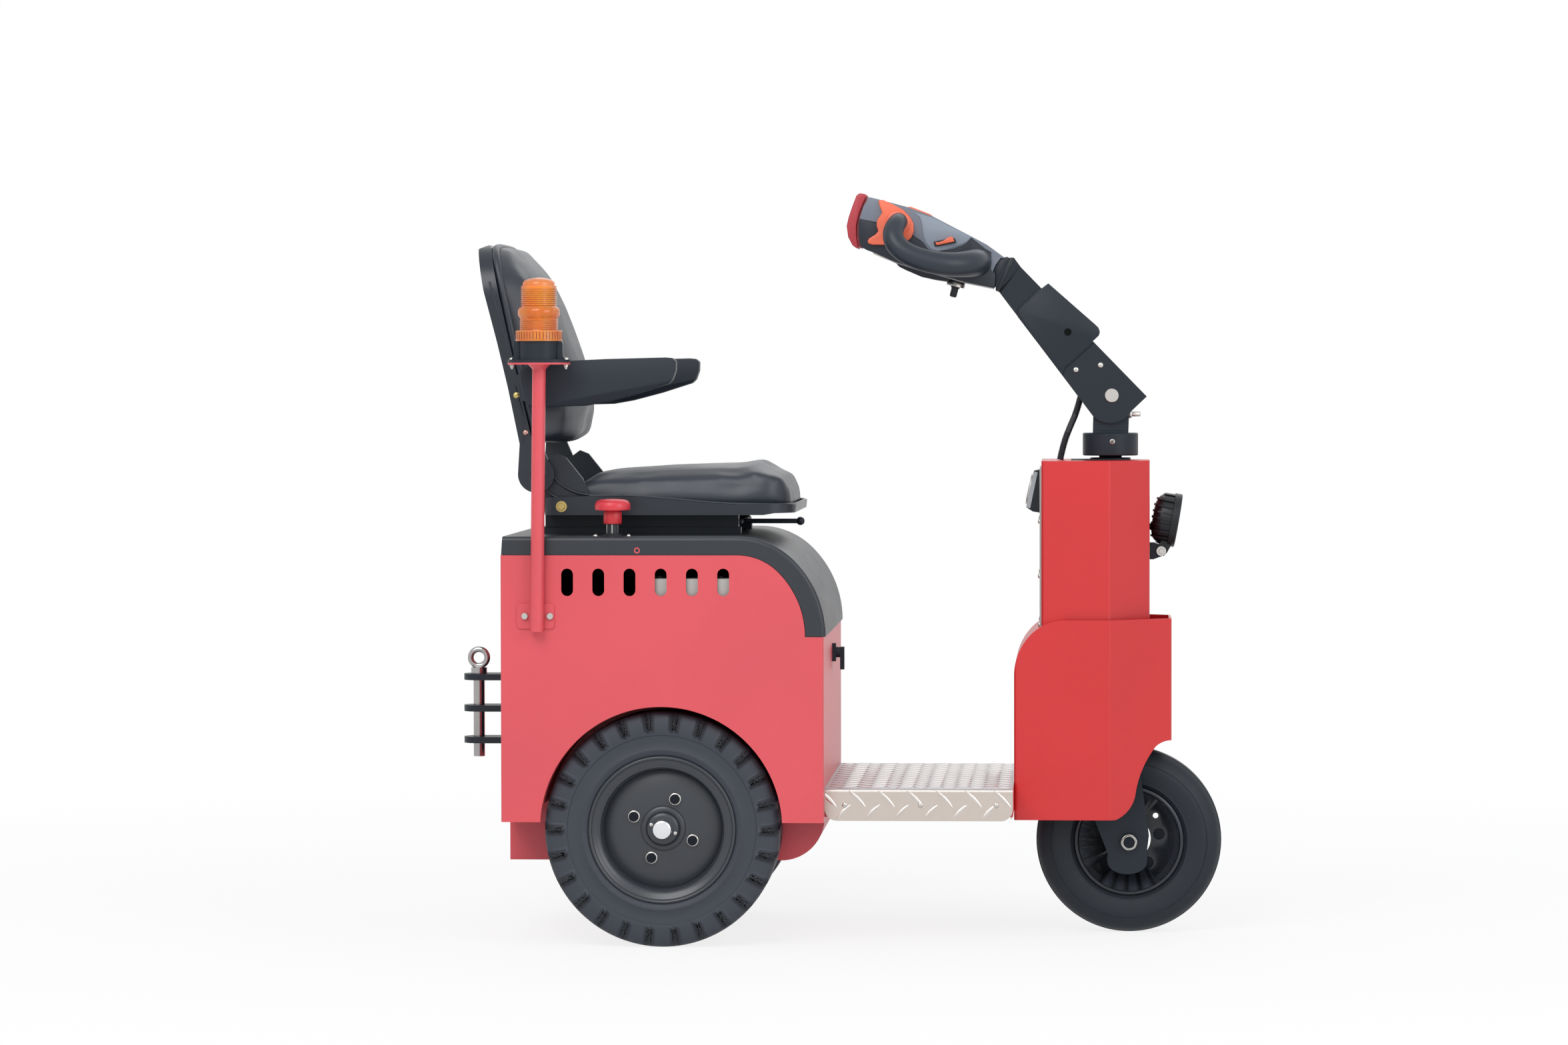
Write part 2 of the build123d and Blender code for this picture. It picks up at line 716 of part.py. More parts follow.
with BuildPart() as headlamp:
    section_plane = Plane(origin=lamp_plane.origin, x_dir=(0, 1, 0), z_dir=Vector(0, 1, 0).cross(lamp_axis))
    turning_axis = Axis(lamp_plane.origin, lamp_axis)
    with BuildSketch(section_plane):
        lamp_bowl(0)
    revolve(axis=turning_axis)
    with Locations(lamp_plane.offset(-lamp_bezel)):
        with GridLocations(0, lamp_fin_pitch, 1, 8):
            Box(
                3 * lamp_radius, lamp_fin_slot, 2 * lamp_radius,
                align=(Align.CENTER, Align.CENTER, Align.MAX), mode=Mode.SUBTRACT,
            )
    with BuildSketch(section_plane):
        lamp_bowl(lamp_fin_depth)
    revolve(axis=turning_axis)
    with BuildSketch(lamp_plane):
        Circle(lamp_radius)
    extrude(amount=-lamp_bezel)
    with BuildSketch(lamp_plane):
        Circle(lamp_radius - 4)
    extrude(amount=-2, mode=Mode.SUBTRACT)
    gland_x = column_front_x + seam_gap
    with Locations((gland_x, 0, lamp_face_z - 9.4)):
        Cylinder(5, 9, rotation=(0, 90, 0), align=(Align.CENTER, Align.CENTER, Align.MIN))
    for _, sign in SIDES:
        with BuildSketch(side_plane(sign * (lamp_bracket_half_width + bearing_gap))):
            Polygon(
                (lamp_pivot_x - 6, lamp_pivot_z - 6), (lamp_pivot_x + 4, lamp_pivot_z - 8.5),
                (lamp_pivot_x + 10, lamp_pivot_z - 2), (lamp_pivot_x + 16, lamp_pivot_z + 9),
                (lamp_pivot_x + 22, lamp_pivot_z + 17), (lamp_pivot_x + 6, lamp_pivot_z + 27),
                (lamp_pivot_x - 4, lamp_pivot_z + 11), (lamp_pivot_x - 8.5, lamp_pivot_z + 1),
                align=None,
            )
        extrude(amount=-sign * lamp_ear_thickness)
save(headlamp, "headlamp")

# Beacon: a pole on the right side panel, its base plate, the black base and the amber lens
pole_foot = Vector(pole_foot_x, beacon_y, beacon_pole_bottom_z)
pole_head = Vector(beacon_top_x, beacon_y, beacon_plate_z)
with BuildPart() as beacon_pole:
    with Locations((pole_foot_x - 3, -body_half_width, pole_plate_z)):
        Box(
            pole_plate_length, beacon_plate_thickness, pole_plate_height,
            align=(Align.CENTER, Align.MAX, Align.CENTER),
        )
    fillet(beacon_pole.edges().filter_by(Axis.Y), 7)
    with Locations((pole_foot_x, -body_half_width - beacon_plate_thickness, pole_plate_z)):
        Box(
            beacon_pole_radius + 1, beacon_pole_radius, pole_plate_height,
            align=(Align.CENTER, Align.MAX, Align.CENTER),
        )
    with BuildSketch(Plane(origin=pole_foot, z_dir=pole_head - pole_foot)):
        Circle(beacon_pole_radius)
    extrude(amount=(pole_head - pole_foot).length)
    with BuildSketch(Plane.XY.offset(beacon_plate_z - 8)):
        with Locations((beacon_top_x, beacon_y)):
            Circle(beacon_pole_radius)
    extrude(amount=8, taper=-40)
    with BuildSketch(Plane.XY.offset(beacon_plate_z)):
        with Locations((beacon_top_x, beacon_y)):
            Ellipse(beacon_foot_length / 2, beacon_ring_radius - 2)
    extrude(amount=beacon_plate_thickness)
save(beacon_pole, "beacon_pole")

with BuildPart() as beacon_base:
    base_z = beacon_plate_z + beacon_plate_thickness
    base_height = beacon_base_top_z - base_z
    with BuildSketch(Plane.XY.offset(base_z)):
        with Locations((beacon_top_x, beacon_y)):
            Ellipse(beacon_foot_length / 2, beacon_ring_radius - 2)
    extrude(amount=beacon_gasket)
    with BuildSketch(Plane.XY.offset(base_z + beacon_gasket)):
        with Locations((beacon_top_x, beacon_y)):
            Circle(beacon_base_radius)
    extrude(amount=base_height - beacon_gasket)
    with BuildSketch(Plane.XZ.offset(-beacon_y)):
        with Locations((beacon_top_x, base_z)):
            # Each row is a point of the two screw ears' side: across, and up from the plate.
            ear_side = ((beacon_foot_length / 2 - 3, 0), (43, 6), (40, 12), (39.5, base_height - 3))
            Polygon(
                *ear_side, (37, base_height), (-37, base_height), *((-x, z) for x, z in ear_side[::-1]),
                align=None,
            )
    extrude(amount=13, both=True)
save(beacon_base, "beacon_base")

with BuildPart() as beacon_lens:
    ring_top = 17.0
    lower_rib_count = 6
    upper_rib_count = 10
    band_top = 56.0
    with BuildSketch(Plane.XZ.offset(-beacon_y)):
        with Locations((beacon_top_x, beacon_base_top_z)):
            lower_ribs = [
                (lens_body_radius - lens_rib_depth * (turn % 2), ring_top + lens_rib_pitch * turn / 2)
                for turn in range(2 * lower_rib_count + 1)
            ]
            upper_ribs = [
                (lens_top_radius - lens_rib_depth * (turn % 2), band_top + lens_rib_pitch * turn / 2)
                for turn in range(2 * upper_rib_count + 1)
            ]
            dome_z = upper_ribs[-1][1]
            Polygon(
                (0, 0), (beacon_ring_radius, 0), (beacon_ring_radius, ring_top - 2),
                (beacon_ring_radius - 2, ring_top), *lower_ribs, (lens_body_radius + 0.5, band_top - 10),
                *upper_ribs, (lens_top_radius - 3, dome_z + 1), (lens_top_radius - 3, dome_z + 5),
                (lens_top_radius * 0.72, dome_z + 11), (lens_top_radius * 0.4, dome_z + 14), (0, dome_z + 15),
                align=None,
            )
    revolve(axis=Axis((beacon_top_x, beacon_y, 0), (0, 0, 1)))
save(beacon_lens, "beacon_lens")

# Latch on the front panel, under the deck's nose
with BuildPart() as deck_latch:
    with Locations((front_x, 0, latch_z)):
        Box(6, 20, 30, align=(Align.MIN, Align.CENTER, Align.CENTER))
        Cylinder(9, 13, rotation=(0, 90, 0), align=(Align.CENTER, Align.CENTER, Align.MIN))
    with Locations((front_x + 13, 0, latch_z + 9)):
        Box(7, 16, 38, align=(Align.MIN, Align.CENTER, Align.MAX))
save(deck_latch, "deck_latch")

# Rear wheels: a lugged tyre on a dished rim, and the hub that runs on the axle stub
for side, sign in SIDES:
    wheel_y = sign * rear_track_half
    wheel_axis = Axis((0, wheel_y, rear_axle_z), (0, 1, 0))
    with BuildPart() as rear_tyre:
        # Each row is a half of the section: across from the wheel's middle, and out from its axis.
        half_section = (
            (rear_bead_half_width, rear_bead_radius),
            (rear_bead_half_width, rear_flange_radius + 1),
            (rear_tyre_half_width - 2, rear_flange_radius + 10),
            (rear_tyre_half_width, rear_lug_floor_radius - 4),
            (rear_tyre_half_width - 7, rear_tyre_radius),
        )
        with BuildSketch(Plane(origin=(0, wheel_y, rear_axle_z), x_dir=(0, sign, 0), z_dir=(sign, 0, 0))):
            Polygon(*half_section, *((-across, out) for across, out in half_section[::-1]), align=None)
        revolve(axis=wheel_axis)
        # The grooves' floors slope from the sidewall up to the tread.
        lug_height = rear_tyre_radius - rear_lug_floor_radius
        floor_slope = degrees(atan2(lug_height, rear_lug_length))
        for shoulder in (-1, 1):
            groove_y = wheel_y + shoulder * (rear_tyre_half_width - rear_lug_length / 2)
            shoulder_plane = Plane(origin=(0, groove_y, rear_axle_z), x_dir=(1, 0, 0), z_dir=(0, 1, 0))
            half_pitch = 180 / rear_lug_count if shoulder > 0 else 0
            with Locations(shoulder_plane):
                with PolarLocations(rear_tyre_radius - lug_height / 2, rear_lug_count, start_angle=half_pitch):
                    Box(
                        lug_height, rear_lug_gap, 3 * lug_height, rotation=(0, -shoulder * floor_slope, 0),
                        align=(Align.MIN, Align.CENTER, Align.CENTER), mode=Mode.SUBTRACT,
                    )
    save(rear_tyre, f"rear_tyre_{side}")

    with BuildPart() as rear_rim:
        with BuildSketch(Plane(origin=(0, wheel_y, rear_axle_z), x_dir=(0, sign, 0), z_dir=(sign, 0, 0))):
            seat = rear_bead_radius
            edge = rear_bead_half_width
            Polygon(
                (-edge - 4, seat - 4), (-edge - 4, rear_flange_radius), (-edge, rear_flange_radius),
                (-edge, seat), (edge, seat), (edge, rear_flange_radius), (edge + 7, rear_flange_radius),
                (edge + 8.5, rear_flange_radius - 3), (edge + 7, rear_flange_radius - 6),
                (edge + 4, rear_flange_radius - 6), (edge + 3, rear_flange_radius - 12),
                (edge - 6, seat - 5), (rear_disc_offset + 4, seat - 4),
                (rear_disc_offset, rear_disc_radius - 3), (rear_disc_offset, rear_hub_radius - 6),
                (rear_disc_offset - wheel_plate, rear_hub_radius - 6),
                (rear_disc_offset - wheel_plate, seat - 4),
                align=None,
            )
        revolve(axis=wheel_axis)
        with Locations(Plane(origin=(0, wheel_y, rear_axle_z), x_dir=(1, 0, 0), z_dir=(0, -1, 0))):
            with PolarLocations(wheel_bolt_circle, 4, start_angle=wheel_bolt_start):
                Cylinder(wheel_bolt_hole, 3 * rear_tyre_half_width, mode=Mode.SUBTRACT)
    save(rear_rim, f"rear_rim_{side}")

    with BuildPart() as rear_hub:
        with BuildSketch(Plane(origin=(0, wheel_y, rear_axle_z), x_dir=(0, sign, 0), z_dir=(sign, 0, 0))):
            hub_back = axle_tube_end_y - rear_track_half + 3
            bore = axle_stub_radius + bearing_gap
            stub_tip = stub_end_y - rear_track_half + 1
            disc_back = rear_disc_offset - wheel_plate
            cap_radius = 16.4
            Polygon(
                (hub_back, bore), (hub_back, 26), (disc_back - 8, 26), (disc_back - 8, wheel_bolt_circle + 14),
                (disc_back, wheel_bolt_circle + 14), (disc_back, rear_hub_radius - 6),
                (rear_disc_offset, rear_hub_radius - 6), (rear_disc_offset, rear_hub_radius),
                (rear_disc_offset + 5, rear_hub_radius), (rear_disc_offset + 6, 27),
                (rear_disc_offset + 10, 25), (rear_disc_offset + 11, cap_radius),
                (rear_disc_offset + 28, cap_radius), (rear_disc_offset + 31, cap_radius - 4),
                (rear_disc_offset + 32, 0),
                (stub_tip, 0), (stub_tip, bore),
                align=None,
            )
        revolve(axis=wheel_axis)
    save(rear_hub, f"rear_hub_{side}")

# Front wheel
front_axis = Axis((front_axle_x, 0, front_tyre_radius), (0, 1, 0))
front_plane = Plane(origin=(front_axle_x, 0, front_tyre_radius), x_dir=(0, 1, 0), z_dir=(1, 0, 0))
with BuildPart() as front_tyre:
    with BuildSketch(front_plane):
        # Each row is a half of the section: across from the wheel's middle, and out from its axis.
        half = front_tyre_half_width
        half_section = (
            (34, front_bead_radius), (34, front_flange_radius + 1), (half - 2, front_flange_radius + 9),
            (half, 115), (half, 128), (half - 2.5, 133), (half - 11, 147.5), (half - 28, front_tyre_radius),
        )
        Polygon(*half_section, *((-across, out) for across, out in half_section[::-1]), align=None)
    revolve(axis=front_axis)
save(front_tyre, "front_tyre")

spindle_bore = front_spindle_radius + bearing_gap
with BuildPart() as front_rim:
    with BuildSketch(front_plane):
        Polygon(
            (-38, front_bead_radius - 4), (-38, front_flange_radius), (-34, front_flange_radius),
            (-34, front_bead_radius), (34, front_bead_radius), (34, front_flange_radius),
            (38, front_flange_radius), (38, front_bead_radius - 4), (4, front_bead_radius - 4),
            (4, front_disc_bore), (-4, front_disc_bore), (-4, front_bead_radius - 4),
            align=None,
        )
    revolve(axis=front_axis)
    with Locations((front_axle_x, 0, front_tyre_radius)):
        for turn in (90, 180, 270):
            with Locations(Rotation(0, -turn, 0)):
                Box(
                    front_bolt_circle, 24, 8, align=(Align.MIN, Align.CENTER, Align.CENTER),
                    rotation=(90, 0, 0),
                )
        Cylinder(front_hub_radius, 2 * front_hub_half_width, rotation=(90, 0, 0))
        Cylinder(spindle_bore, 3 * front_hub_half_width, rotation=(90, 0, 0), mode=Mode.SUBTRACT)
    with Locations(Plane(origin=(front_axle_x, 0, front_tyre_radius), x_dir=(1, 0, 0), z_dir=(0, -1, 0))):
        with PolarLocations(front_bolt_circle, 6, start_angle=front_bolt_start):
            Cylinder(wheel_bolt_hole, 3 * front_hub_half_width, mode=Mode.SUBTRACT)
        with PolarLocations(front_window_circle, 3, start_angle=front_window_start):
            Cylinder(front_window_radius, 3 * front_hub_half_width, mode=Mode.SUBTRACT)
save(front_rim, "front_rim")

hub_end = front_hub_half_width + seam_gap
with BuildPart() as front_spindle:
    with BuildSketch(front_plane):
        Polygon(
            (-leg_outer_y - 9, 0), (-leg_outer_y - 9, 14), (-leg_outer_y, 14),
            (-leg_outer_y, front_spindle_radius), (-leg_inner_y, front_spindle_radius),
            (-leg_inner_y, 17), (-hub_end, 17), (-hub_end, front_spindle_radius), (hub_end, front_spindle_radius),
            (hub_end, 17), (leg_inner_y, 17), (leg_inner_y, front_spindle_radius),
            (leg_outer_y, front_spindle_radius), (leg_outer_y, 14), (leg_outer_y + 9, 14),
            (leg_outer_y + 9, 0),
            align=None,
        )
    revolve(axis=front_axis)
save(front_spindle, "front_spindle")

# Fork: a tapered leg each side of the wheel, a crown over it and the steerer up to the collar
with BuildPart() as front_fork:
    for _, sign in SIDES:
        with BuildSketch(side_plane(sign * leg_inner_y)):
            with BuildLine():
                foot_z = front_tyre_radius - 20
                Polyline((793, foot_z), (797, foot_z + 31), (786, foot_z + 111), (775, crown_z), (691, crown_z),
                         (698, foot_z + 95), (709, foot_z + 50), (728.5, foot_z))
                ThreePointArc((728.5, foot_z), (761, foot_z - 42), (793, foot_z))
            make_face()
            with Locations((front_axle_x, front_tyre_radius)):
                Circle(front_spindle_radius, mode=Mode.SUBTRACT)
        extrude(amount=-sign * leg_thickness)
    with Locations((steer_x, 0, crown_z)):
        Box(84, 2 * (leg_inner_y + leg_thickness), crown_thickness, align=(Align.CENTER, Align.CENTER, Align.MIN))
    with Locations((steer_x, 0, crown_z + crown_thickness)):
        steerer_height = collar_bottom_z - crown_z - crown_thickness
        Cylinder(steerer_radius, steerer_height, align=(Align.CENTER, Align.CENTER, Align.MIN))
save(front_fork, "front_fork")

with BuildPart() as steering_collar:
    with Locations((steer_x, 0, collar_bottom_z)):
        Cylinder(collar_radius, collar_top_z - collar_bottom_z, align=(Align.CENTER, Align.CENTER, Align.MIN))
    chamfer(steering_collar.edges().filter_by(GeomType.CIRCLE), 1.5)
save(steering_collar, "steering_collar")

# Mast bracket: two ears on the collar with the pivot pin, and the stop screw in front
with BuildPart() as mast_bracket:
    for _, sign in SIDES:
        with BuildSketch(side_plane(sign * bracket_half_width)):
            with BuildLine():
                Polyline((704.9, mast_pivot_z), (703.5, collar_top_z), (762.8, collar_top_z), (764.9, mast_pivot_z))
                ThreePointArc((764.9, mast_pivot_z), (mast_pivot_x, mast_pivot_z + 30), (704.9, mast_pivot_z))
            make_face()
        extrude(amount=sign * bracket_plate)
    with Locations((762.8, 0, collar_top_z)):
        Box(6, 2 * bracket_half_width, 42, align=(Align.MAX, Align.CENTER, Align.MIN))
    with Locations((mast_pivot_x, 0, mast_pivot_z)):
        Cylinder(mast_pin_radius, 2 * mast_half_width + 3, rotation=(90, 0, 0))
    with Locations((762.8, 0, 869)):
        Cylinder(4, 20, rotation=(0, 90, 0), align=(Align.CENTER, Align.CENTER, Align.MIN))
save(mast_bracket, "mast_bracket")

# Mast: a tapered box open at its foot, where two cheeks hold the pin
with BuildPart() as mast_arm:
    with BuildSketch(side_plane(0)):
        with BuildLine():
            Polyline((702.8, 866.8), (548.5, 1071.4), (582.6, 1115.6), (793.4, 898.5), (767.3, 873.6))
            ThreePointArc((767.3, 873.6), (733.4, 854.3), (702.8, 866.8))
        make_face()
    extrude(amount=mast_half_width, both=True)
    with BuildSketch(side_plane(0)):
        Polygon(
            (640, 800), (665, 917), (678, 934), (573, 1065), (590, 1094), (757, 924), (775, 941), (840, 860),
            align=None,
        )
    extrude(amount=mast_half_width - mast_wall, both=True, mode=Mode.SUBTRACT)
    with Locations((mast_pivot_x, 0, mast_pivot_z)):
        Cylinder(mast_pin_radius + bearing_gap, 4 * mast_half_width, rotation=(90, 0, 0), mode=Mode.SUBTRACT)
save(mast_arm, "mast_arm")

with BuildPart() as mast_sleeve:
    with BuildSketch(side_plane(0)):
        Polygon(
            (600, 1003.2), (618, 1079.5), (629.1, 1087.8), (707.3, 1018.9), (715.2, 1006.4), (703.9, 991.7),
            (664, 941), (651.5, 935), align=None,
        )
    extrude(amount=mast_half_width + sleeve_wall, both=True)
    with BuildSketch(side_plane(0)):
        with BuildLine():
            Polyline((702.8, 866.8), (548.5, 1071.4), (582.6, 1115.6), (793.4, 898.5), close=True)
        make_face()
    extrude(amount=mast_half_width, both=True, mode=Mode.SUBTRACT)
save(mast_sleeve, "mast_sleeve")

# Tiller head: neck, body, pad, grips, throttle wings and the button under it
with BuildPart() as tiller_neck:
    with BuildSketch(side_plane(0)):
        Polygon(
            (541, 1076), (546, 1076), (584, 1114), (571.6, 1131), (566, 1131), (556, 1124), (541, 1084),
            align=None,
        )
    extrude(amount=tiller_neck_half_width, both=True)
    with BuildSketch(side_plane(0)):
        Polygon((702.8, 866.8), (548.5, 1071.4), (582.6, 1115.6), (793.4, 898.5), align=None)
    extrude(amount=mast_half_width, both=True, mode=Mode.SUBTRACT)
save(tiller_neck, "tiller_neck")

with BuildPart() as tiller_head:
    with BuildSketch(side_plane(0)):
        Polygon(
            (329, 1235), (394.3, 1216.6), (435.1, 1201.5), (499.3, 1168.1), (557, 1131), (555, 1124),
            (540, 1083.5), (535, 1080.3), (460.7, 1096.5), (370.7, 1126.1), (334.2, 1139.7),
            (313.4, 1152.6), (310.7, 1197.6), align=None,
        )
    extrude(amount=tiller_half_width, both=True)
    with BuildSketch(Plane.XY.offset(1000)):
        Polygon(
            (300, -46), (330, -tiller_half_width), (420, -tiller_half_width), (500, -42), (570, -30),
            (570, 30), (500, 42), (420, tiller_half_width), (330, tiller_half_width), (300, 46), align=None,
        )
    extrude(amount=300, mode=Mode.INTERSECT)
save(tiller_head, "tiller_head")

with BuildPart() as tiller_pad:
    with BuildSketch(side_plane(0)):
        with BuildLine():
            Polyline((323.2, 1237.6), (314, 1240.4))
            ThreePointArc((314, 1240.4), (289.5, 1192), (297, 1150))
            Line((297, 1150), (306.7, 1147.9))
            ThreePointArc((306.7, 1147.9), (306, 1195), (323.2, 1237.6))
        make_face()
    extrude(amount=44, both=True)
    with BuildSketch(side_plane(0)):
        Polygon((298, 1172), (312, 1172), (310.4, 1197.6), (318.7, 1215), (303, 1215), align=None)
    extrude(amount=24, both=True)
save(tiller_pad, "tiller_pad")

with BuildPart() as throttle_wings:
    for _, sign in SIDES:
        with BuildSketch(side_plane(sign * (tiller_half_width + 0.5))):
            with BuildLine():
                Polyline((341, 1161), (346.6, 1226.4), (366, 1212))
                ThreePointArc((366, 1212), (406.2, 1180.8), (366, 1151))
                Polyline((366, 1151), (341, 1161))
            make_face()
        extrude(amount=-sign * throttle_thickness)
save(throttle_wings, "throttle_wings")

with BuildPart() as tiller_grips:
    for _, sign in SIDES:
        with BuildLine() as grip_path:
            FilletPolyline(
                (376, sign * (tiller_half_width + throttle_thickness + 1), 1178),
                (376, sign * 112, 1178),
                (398, sign * 122, 1124),
                (500, sign * 112, 1116),
                (540, sign * 52, 1116),
                radius=[20, 24, 30],
            )
        with BuildSketch(grip_path.line ^ 0):
            Circle(grip_radius)
        sweep(path=grip_path.line)
save(tiller_grips, "tiller_grips")

with BuildPart() as tiller_button:
    button_plane = Plane(origin=(475.5, 0, 1092.6), x_dir=(1, 0, -0.25), z_dir=(-0.25, 0, -1))
    with BuildSketch(button_plane):
        Circle(15.5)
    extrude(amount=10)
    with BuildSketch(button_plane.offset(10)):
        Circle(6)
    extrude(amount=18)
save(tiller_button, "tiller_button")

# Control hose from the column's top up into the mast
with BuildPart() as control_hose:
    with BuildLine() as hose_route:
        FilletPolyline(
            (648.6, 0, column_top_z + 0.5), (651, 0, 820), (662, 0, 848), (677, 0, 874), (682, 0, 898),
            radius=[60, 100, 60],
        )
    with BuildSketch(hose_route.line ^ 0):
        Circle(5.75)
    sweep()
save(control_hose, "control_hose")

# Seat deck: the thick cover over the battery box, hinged behind
deck_bottom_z = body_top_z + deck_gap
deck_top_z = deck_bottom_z + deck_thickness
nose_bottom_z = nose_sill_z + deck_gap
with BuildPart() as seat_deck:
    with BuildSketch(side_plane(0)):
        with BuildLine():
            Line((rear_x + 1, deck_bottom_z), (nose_bend_x, deck_bottom_z))
            two_arc_turn(
                (nose_bend_x, deck_bottom_z), (1, 0), nose_inner_x + deck_gap - nose_bend_x,
                deck_bottom_z - nose_bottom_z,
            )
            Line((nose_inner_x + deck_gap, nose_bottom_z), (deck_nose_x, nose_bottom_z))
            two_arc_turn((nose_bend_x, deck_top_z), (1, 0), deck_nose_x - nose_bend_x, deck_top_z - nose_bottom_z)
            Polyline((nose_bend_x, deck_top_z), (rear_x + 3, deck_top_z), (rear_x + 1, deck_bottom_z))
        make_face()
    extrude(amount=deck_half_width, both=True)
    side_edges = seat_deck.faces().filter_by(Axis.Y).edges()
    middle_reach = (nose_inner_x + deck_nose_x) / 2 - nose_bend_x + deck_thickness / 2
    fillet(
        side_edges.filter_by(
            lambda e: e.center().Z > deck_top_z - 1
            or hypot(e.center().X - nose_bend_x, e.center().Z - nose_bottom_z) > middle_reach
            and e.center().X > nose_bend_x
        ),
        deck_edge_radius,
    )
save(seat_deck, "seat_deck")

for body, leaf_front_x, leaf_low_z, leaf_high_z, knuckles in (
    ("body", rear_x, body_top_z - 36, hinge_z, (-2, 0, 2)),
    ("deck", rear_x + 1, hinge_z, hinge_z + 24, (-1, 1)),
):
    with BuildPart() as hinge_leaf:
        for place in knuckles:
            with Locations((hinge_x, place * 60, hinge_z)):
                Cylinder(hinge_knuckle_radius, 59, rotation=(90, 0, 0))
            with BuildSketch(side_plane(place * 60)):
                Polygon(
                    (hinge_x, leaf_low_z), (hinge_x, leaf_high_z), (leaf_front_x, leaf_high_z),
                    (leaf_front_x, leaf_low_z), align=None,
                )
            extrude(amount=29.5, both=True)
    save(hinge_leaf, f"deck_hinge_{body}")

# Seat: fixed rails on the deck, slides above them, a pan with two ears, and the cushion
rail_length = rail_front_x - rail_rear_x
with BuildPart() as seat_rails:
    for _, sign in SIDES:
        with Locations((rail_rear_x, sign * rail_y, deck_top_z)):
            Box(rail_length, rail_width, rail_height, align=(Align.MIN, Align.CENTER, Align.MIN))
save(seat_rails, "seat_rails")

slide_bottom_z = deck_top_z + rail_height + slide_gap
with BuildPart() as seat_slides:
    for _, sign in SIDES:
        with Locations((rail_rear_x + 4, sign * rail_y, slide_bottom_z)):
            Box(
                rail_length - 8, rail_width + 6, seat_pan_bottom_z - slide_bottom_z,
                align=(Align.MIN, Align.CENTER, Align.MIN),
            )
save(seat_slides, "seat_slides")

with BuildPart() as seat_lever:
    lever_z = slide_bottom_z + 7
    with Locations((rail_front_x - 4, -60, lever_z)):
        Cylinder(4, 95, rotation=(0, 90, 0), align=(Align.CENTER, Align.CENTER, Align.MIN))
    with Locations((rail_front_x + 94, -60, lever_z)):
        Sphere(7)
    with Locations((rail_front_x - 4, 0, lever_z)):
        Cylinder(4, 2 * (rail_y - rail_width / 2 - 3), rotation=(90, 0, 0))
save(seat_lever, "seat_lever")

with BuildPart() as seat_pan:
    with BuildSketch(side_plane(0)):
        Polygon(
            (-200, 705), (162, 705), (180, 708), (212.4, 708.4), (214.4, 722.3), (90.6, 723.6),
            (10.7, 732.3), (-69.3, 739), (-125.4, 736.4), (-200, 734), align=None,
        )
    extrude(amount=seat_half_width, both=True)
    with BuildSketch(Plane.XY.offset(seat_pan_bottom_z - 1)):
        rounded_outline((-200, -seat_half_width), (seat_front_x, seat_half_width), 12, seat_corner_radius)
    extrude(amount=100, mode=Mode.INTERSECT)
    with BuildPart(mode=Mode.PRIVATE) as pan_room:
        with BuildSketch(side_plane(0)):
            Polygon((-194, 711), (208, 714), (208, 760), (-194, 760), align=None)
        extrude(amount=seat_half_width, both=True)
        with BuildSketch(Plane.XY.offset(seat_pan_bottom_z)):
            room_half_width = seat_half_width - seat_pan_floor
            room_front_x = seat_front_x - seat_pan_floor
            rounded_outline((-194, -room_half_width), (room_front_x, room_half_width), 6, seat_corner_radius - 6)
        extrude(amount=100, mode=Mode.INTERSECT)
    add(pan_room.part, mode=Mode.SUBTRACT)
    for _, sign in SIDES:
        with BuildSketch(side_plane(sign * ear_outer_y)):
            Polygon(
                (-199, 706), (-226, 752), (-232, 775), (-218, 792), (-195, 795), (-180, 806), (-165, 800),
                (-137, 765), (-125, 736), (-125, 706), align=None,
            )
            with Locations((recline_x, recline_z)):
                Circle(recline_pin_radius, mode=Mode.SUBTRACT)
        extrude(amount=sign * ear_thickness)
save(seat_pan, "seat_pan")

with BuildPart() as seat_cushion:
    with BuildSketch(side_plane(0)):
        Polygon(
            (-118, 711.9), (206, 714.3), (206, 750), (194, 776), (148, 787), (118, 781), (-5, 777), (-93, 770),
            (-118, 762), align=None,
        )
    cushion_half_width = ear_outer_y - ear_thickness - cushion_gap
    extrude(amount=cushion_half_width, both=True)
    with BuildSketch(Plane.XY.offset(seat_pan_bottom_z)):
        rounded_outline((-118, -cushion_half_width), (206, cushion_half_width), 12, seat_corner_radius - 6)
    extrude(amount=100, mode=Mode.INTERSECT)
save(seat_cushion, "seat_cushion")

with BuildPart() as stop_button:
    with Locations((stop_button_x, stop_button_y, deck_top_z)):
        Cylinder(11.5, 20, align=(Align.CENTER, Align.CENTER, Align.MIN))
    with Locations((stop_button_x, stop_button_y, deck_top_z + 20)):
        Cylinder(15.3, 24, align=(Align.CENTER, Align.CENTER, Align.MIN))
    with Locations((stop_button_x, stop_button_y, deck_top_z + 43)):
        Cylinder(stop_guard_radius, 18, align=(Align.CENTER, Align.CENTER, Align.MIN))
save(stop_button, "stop_button")

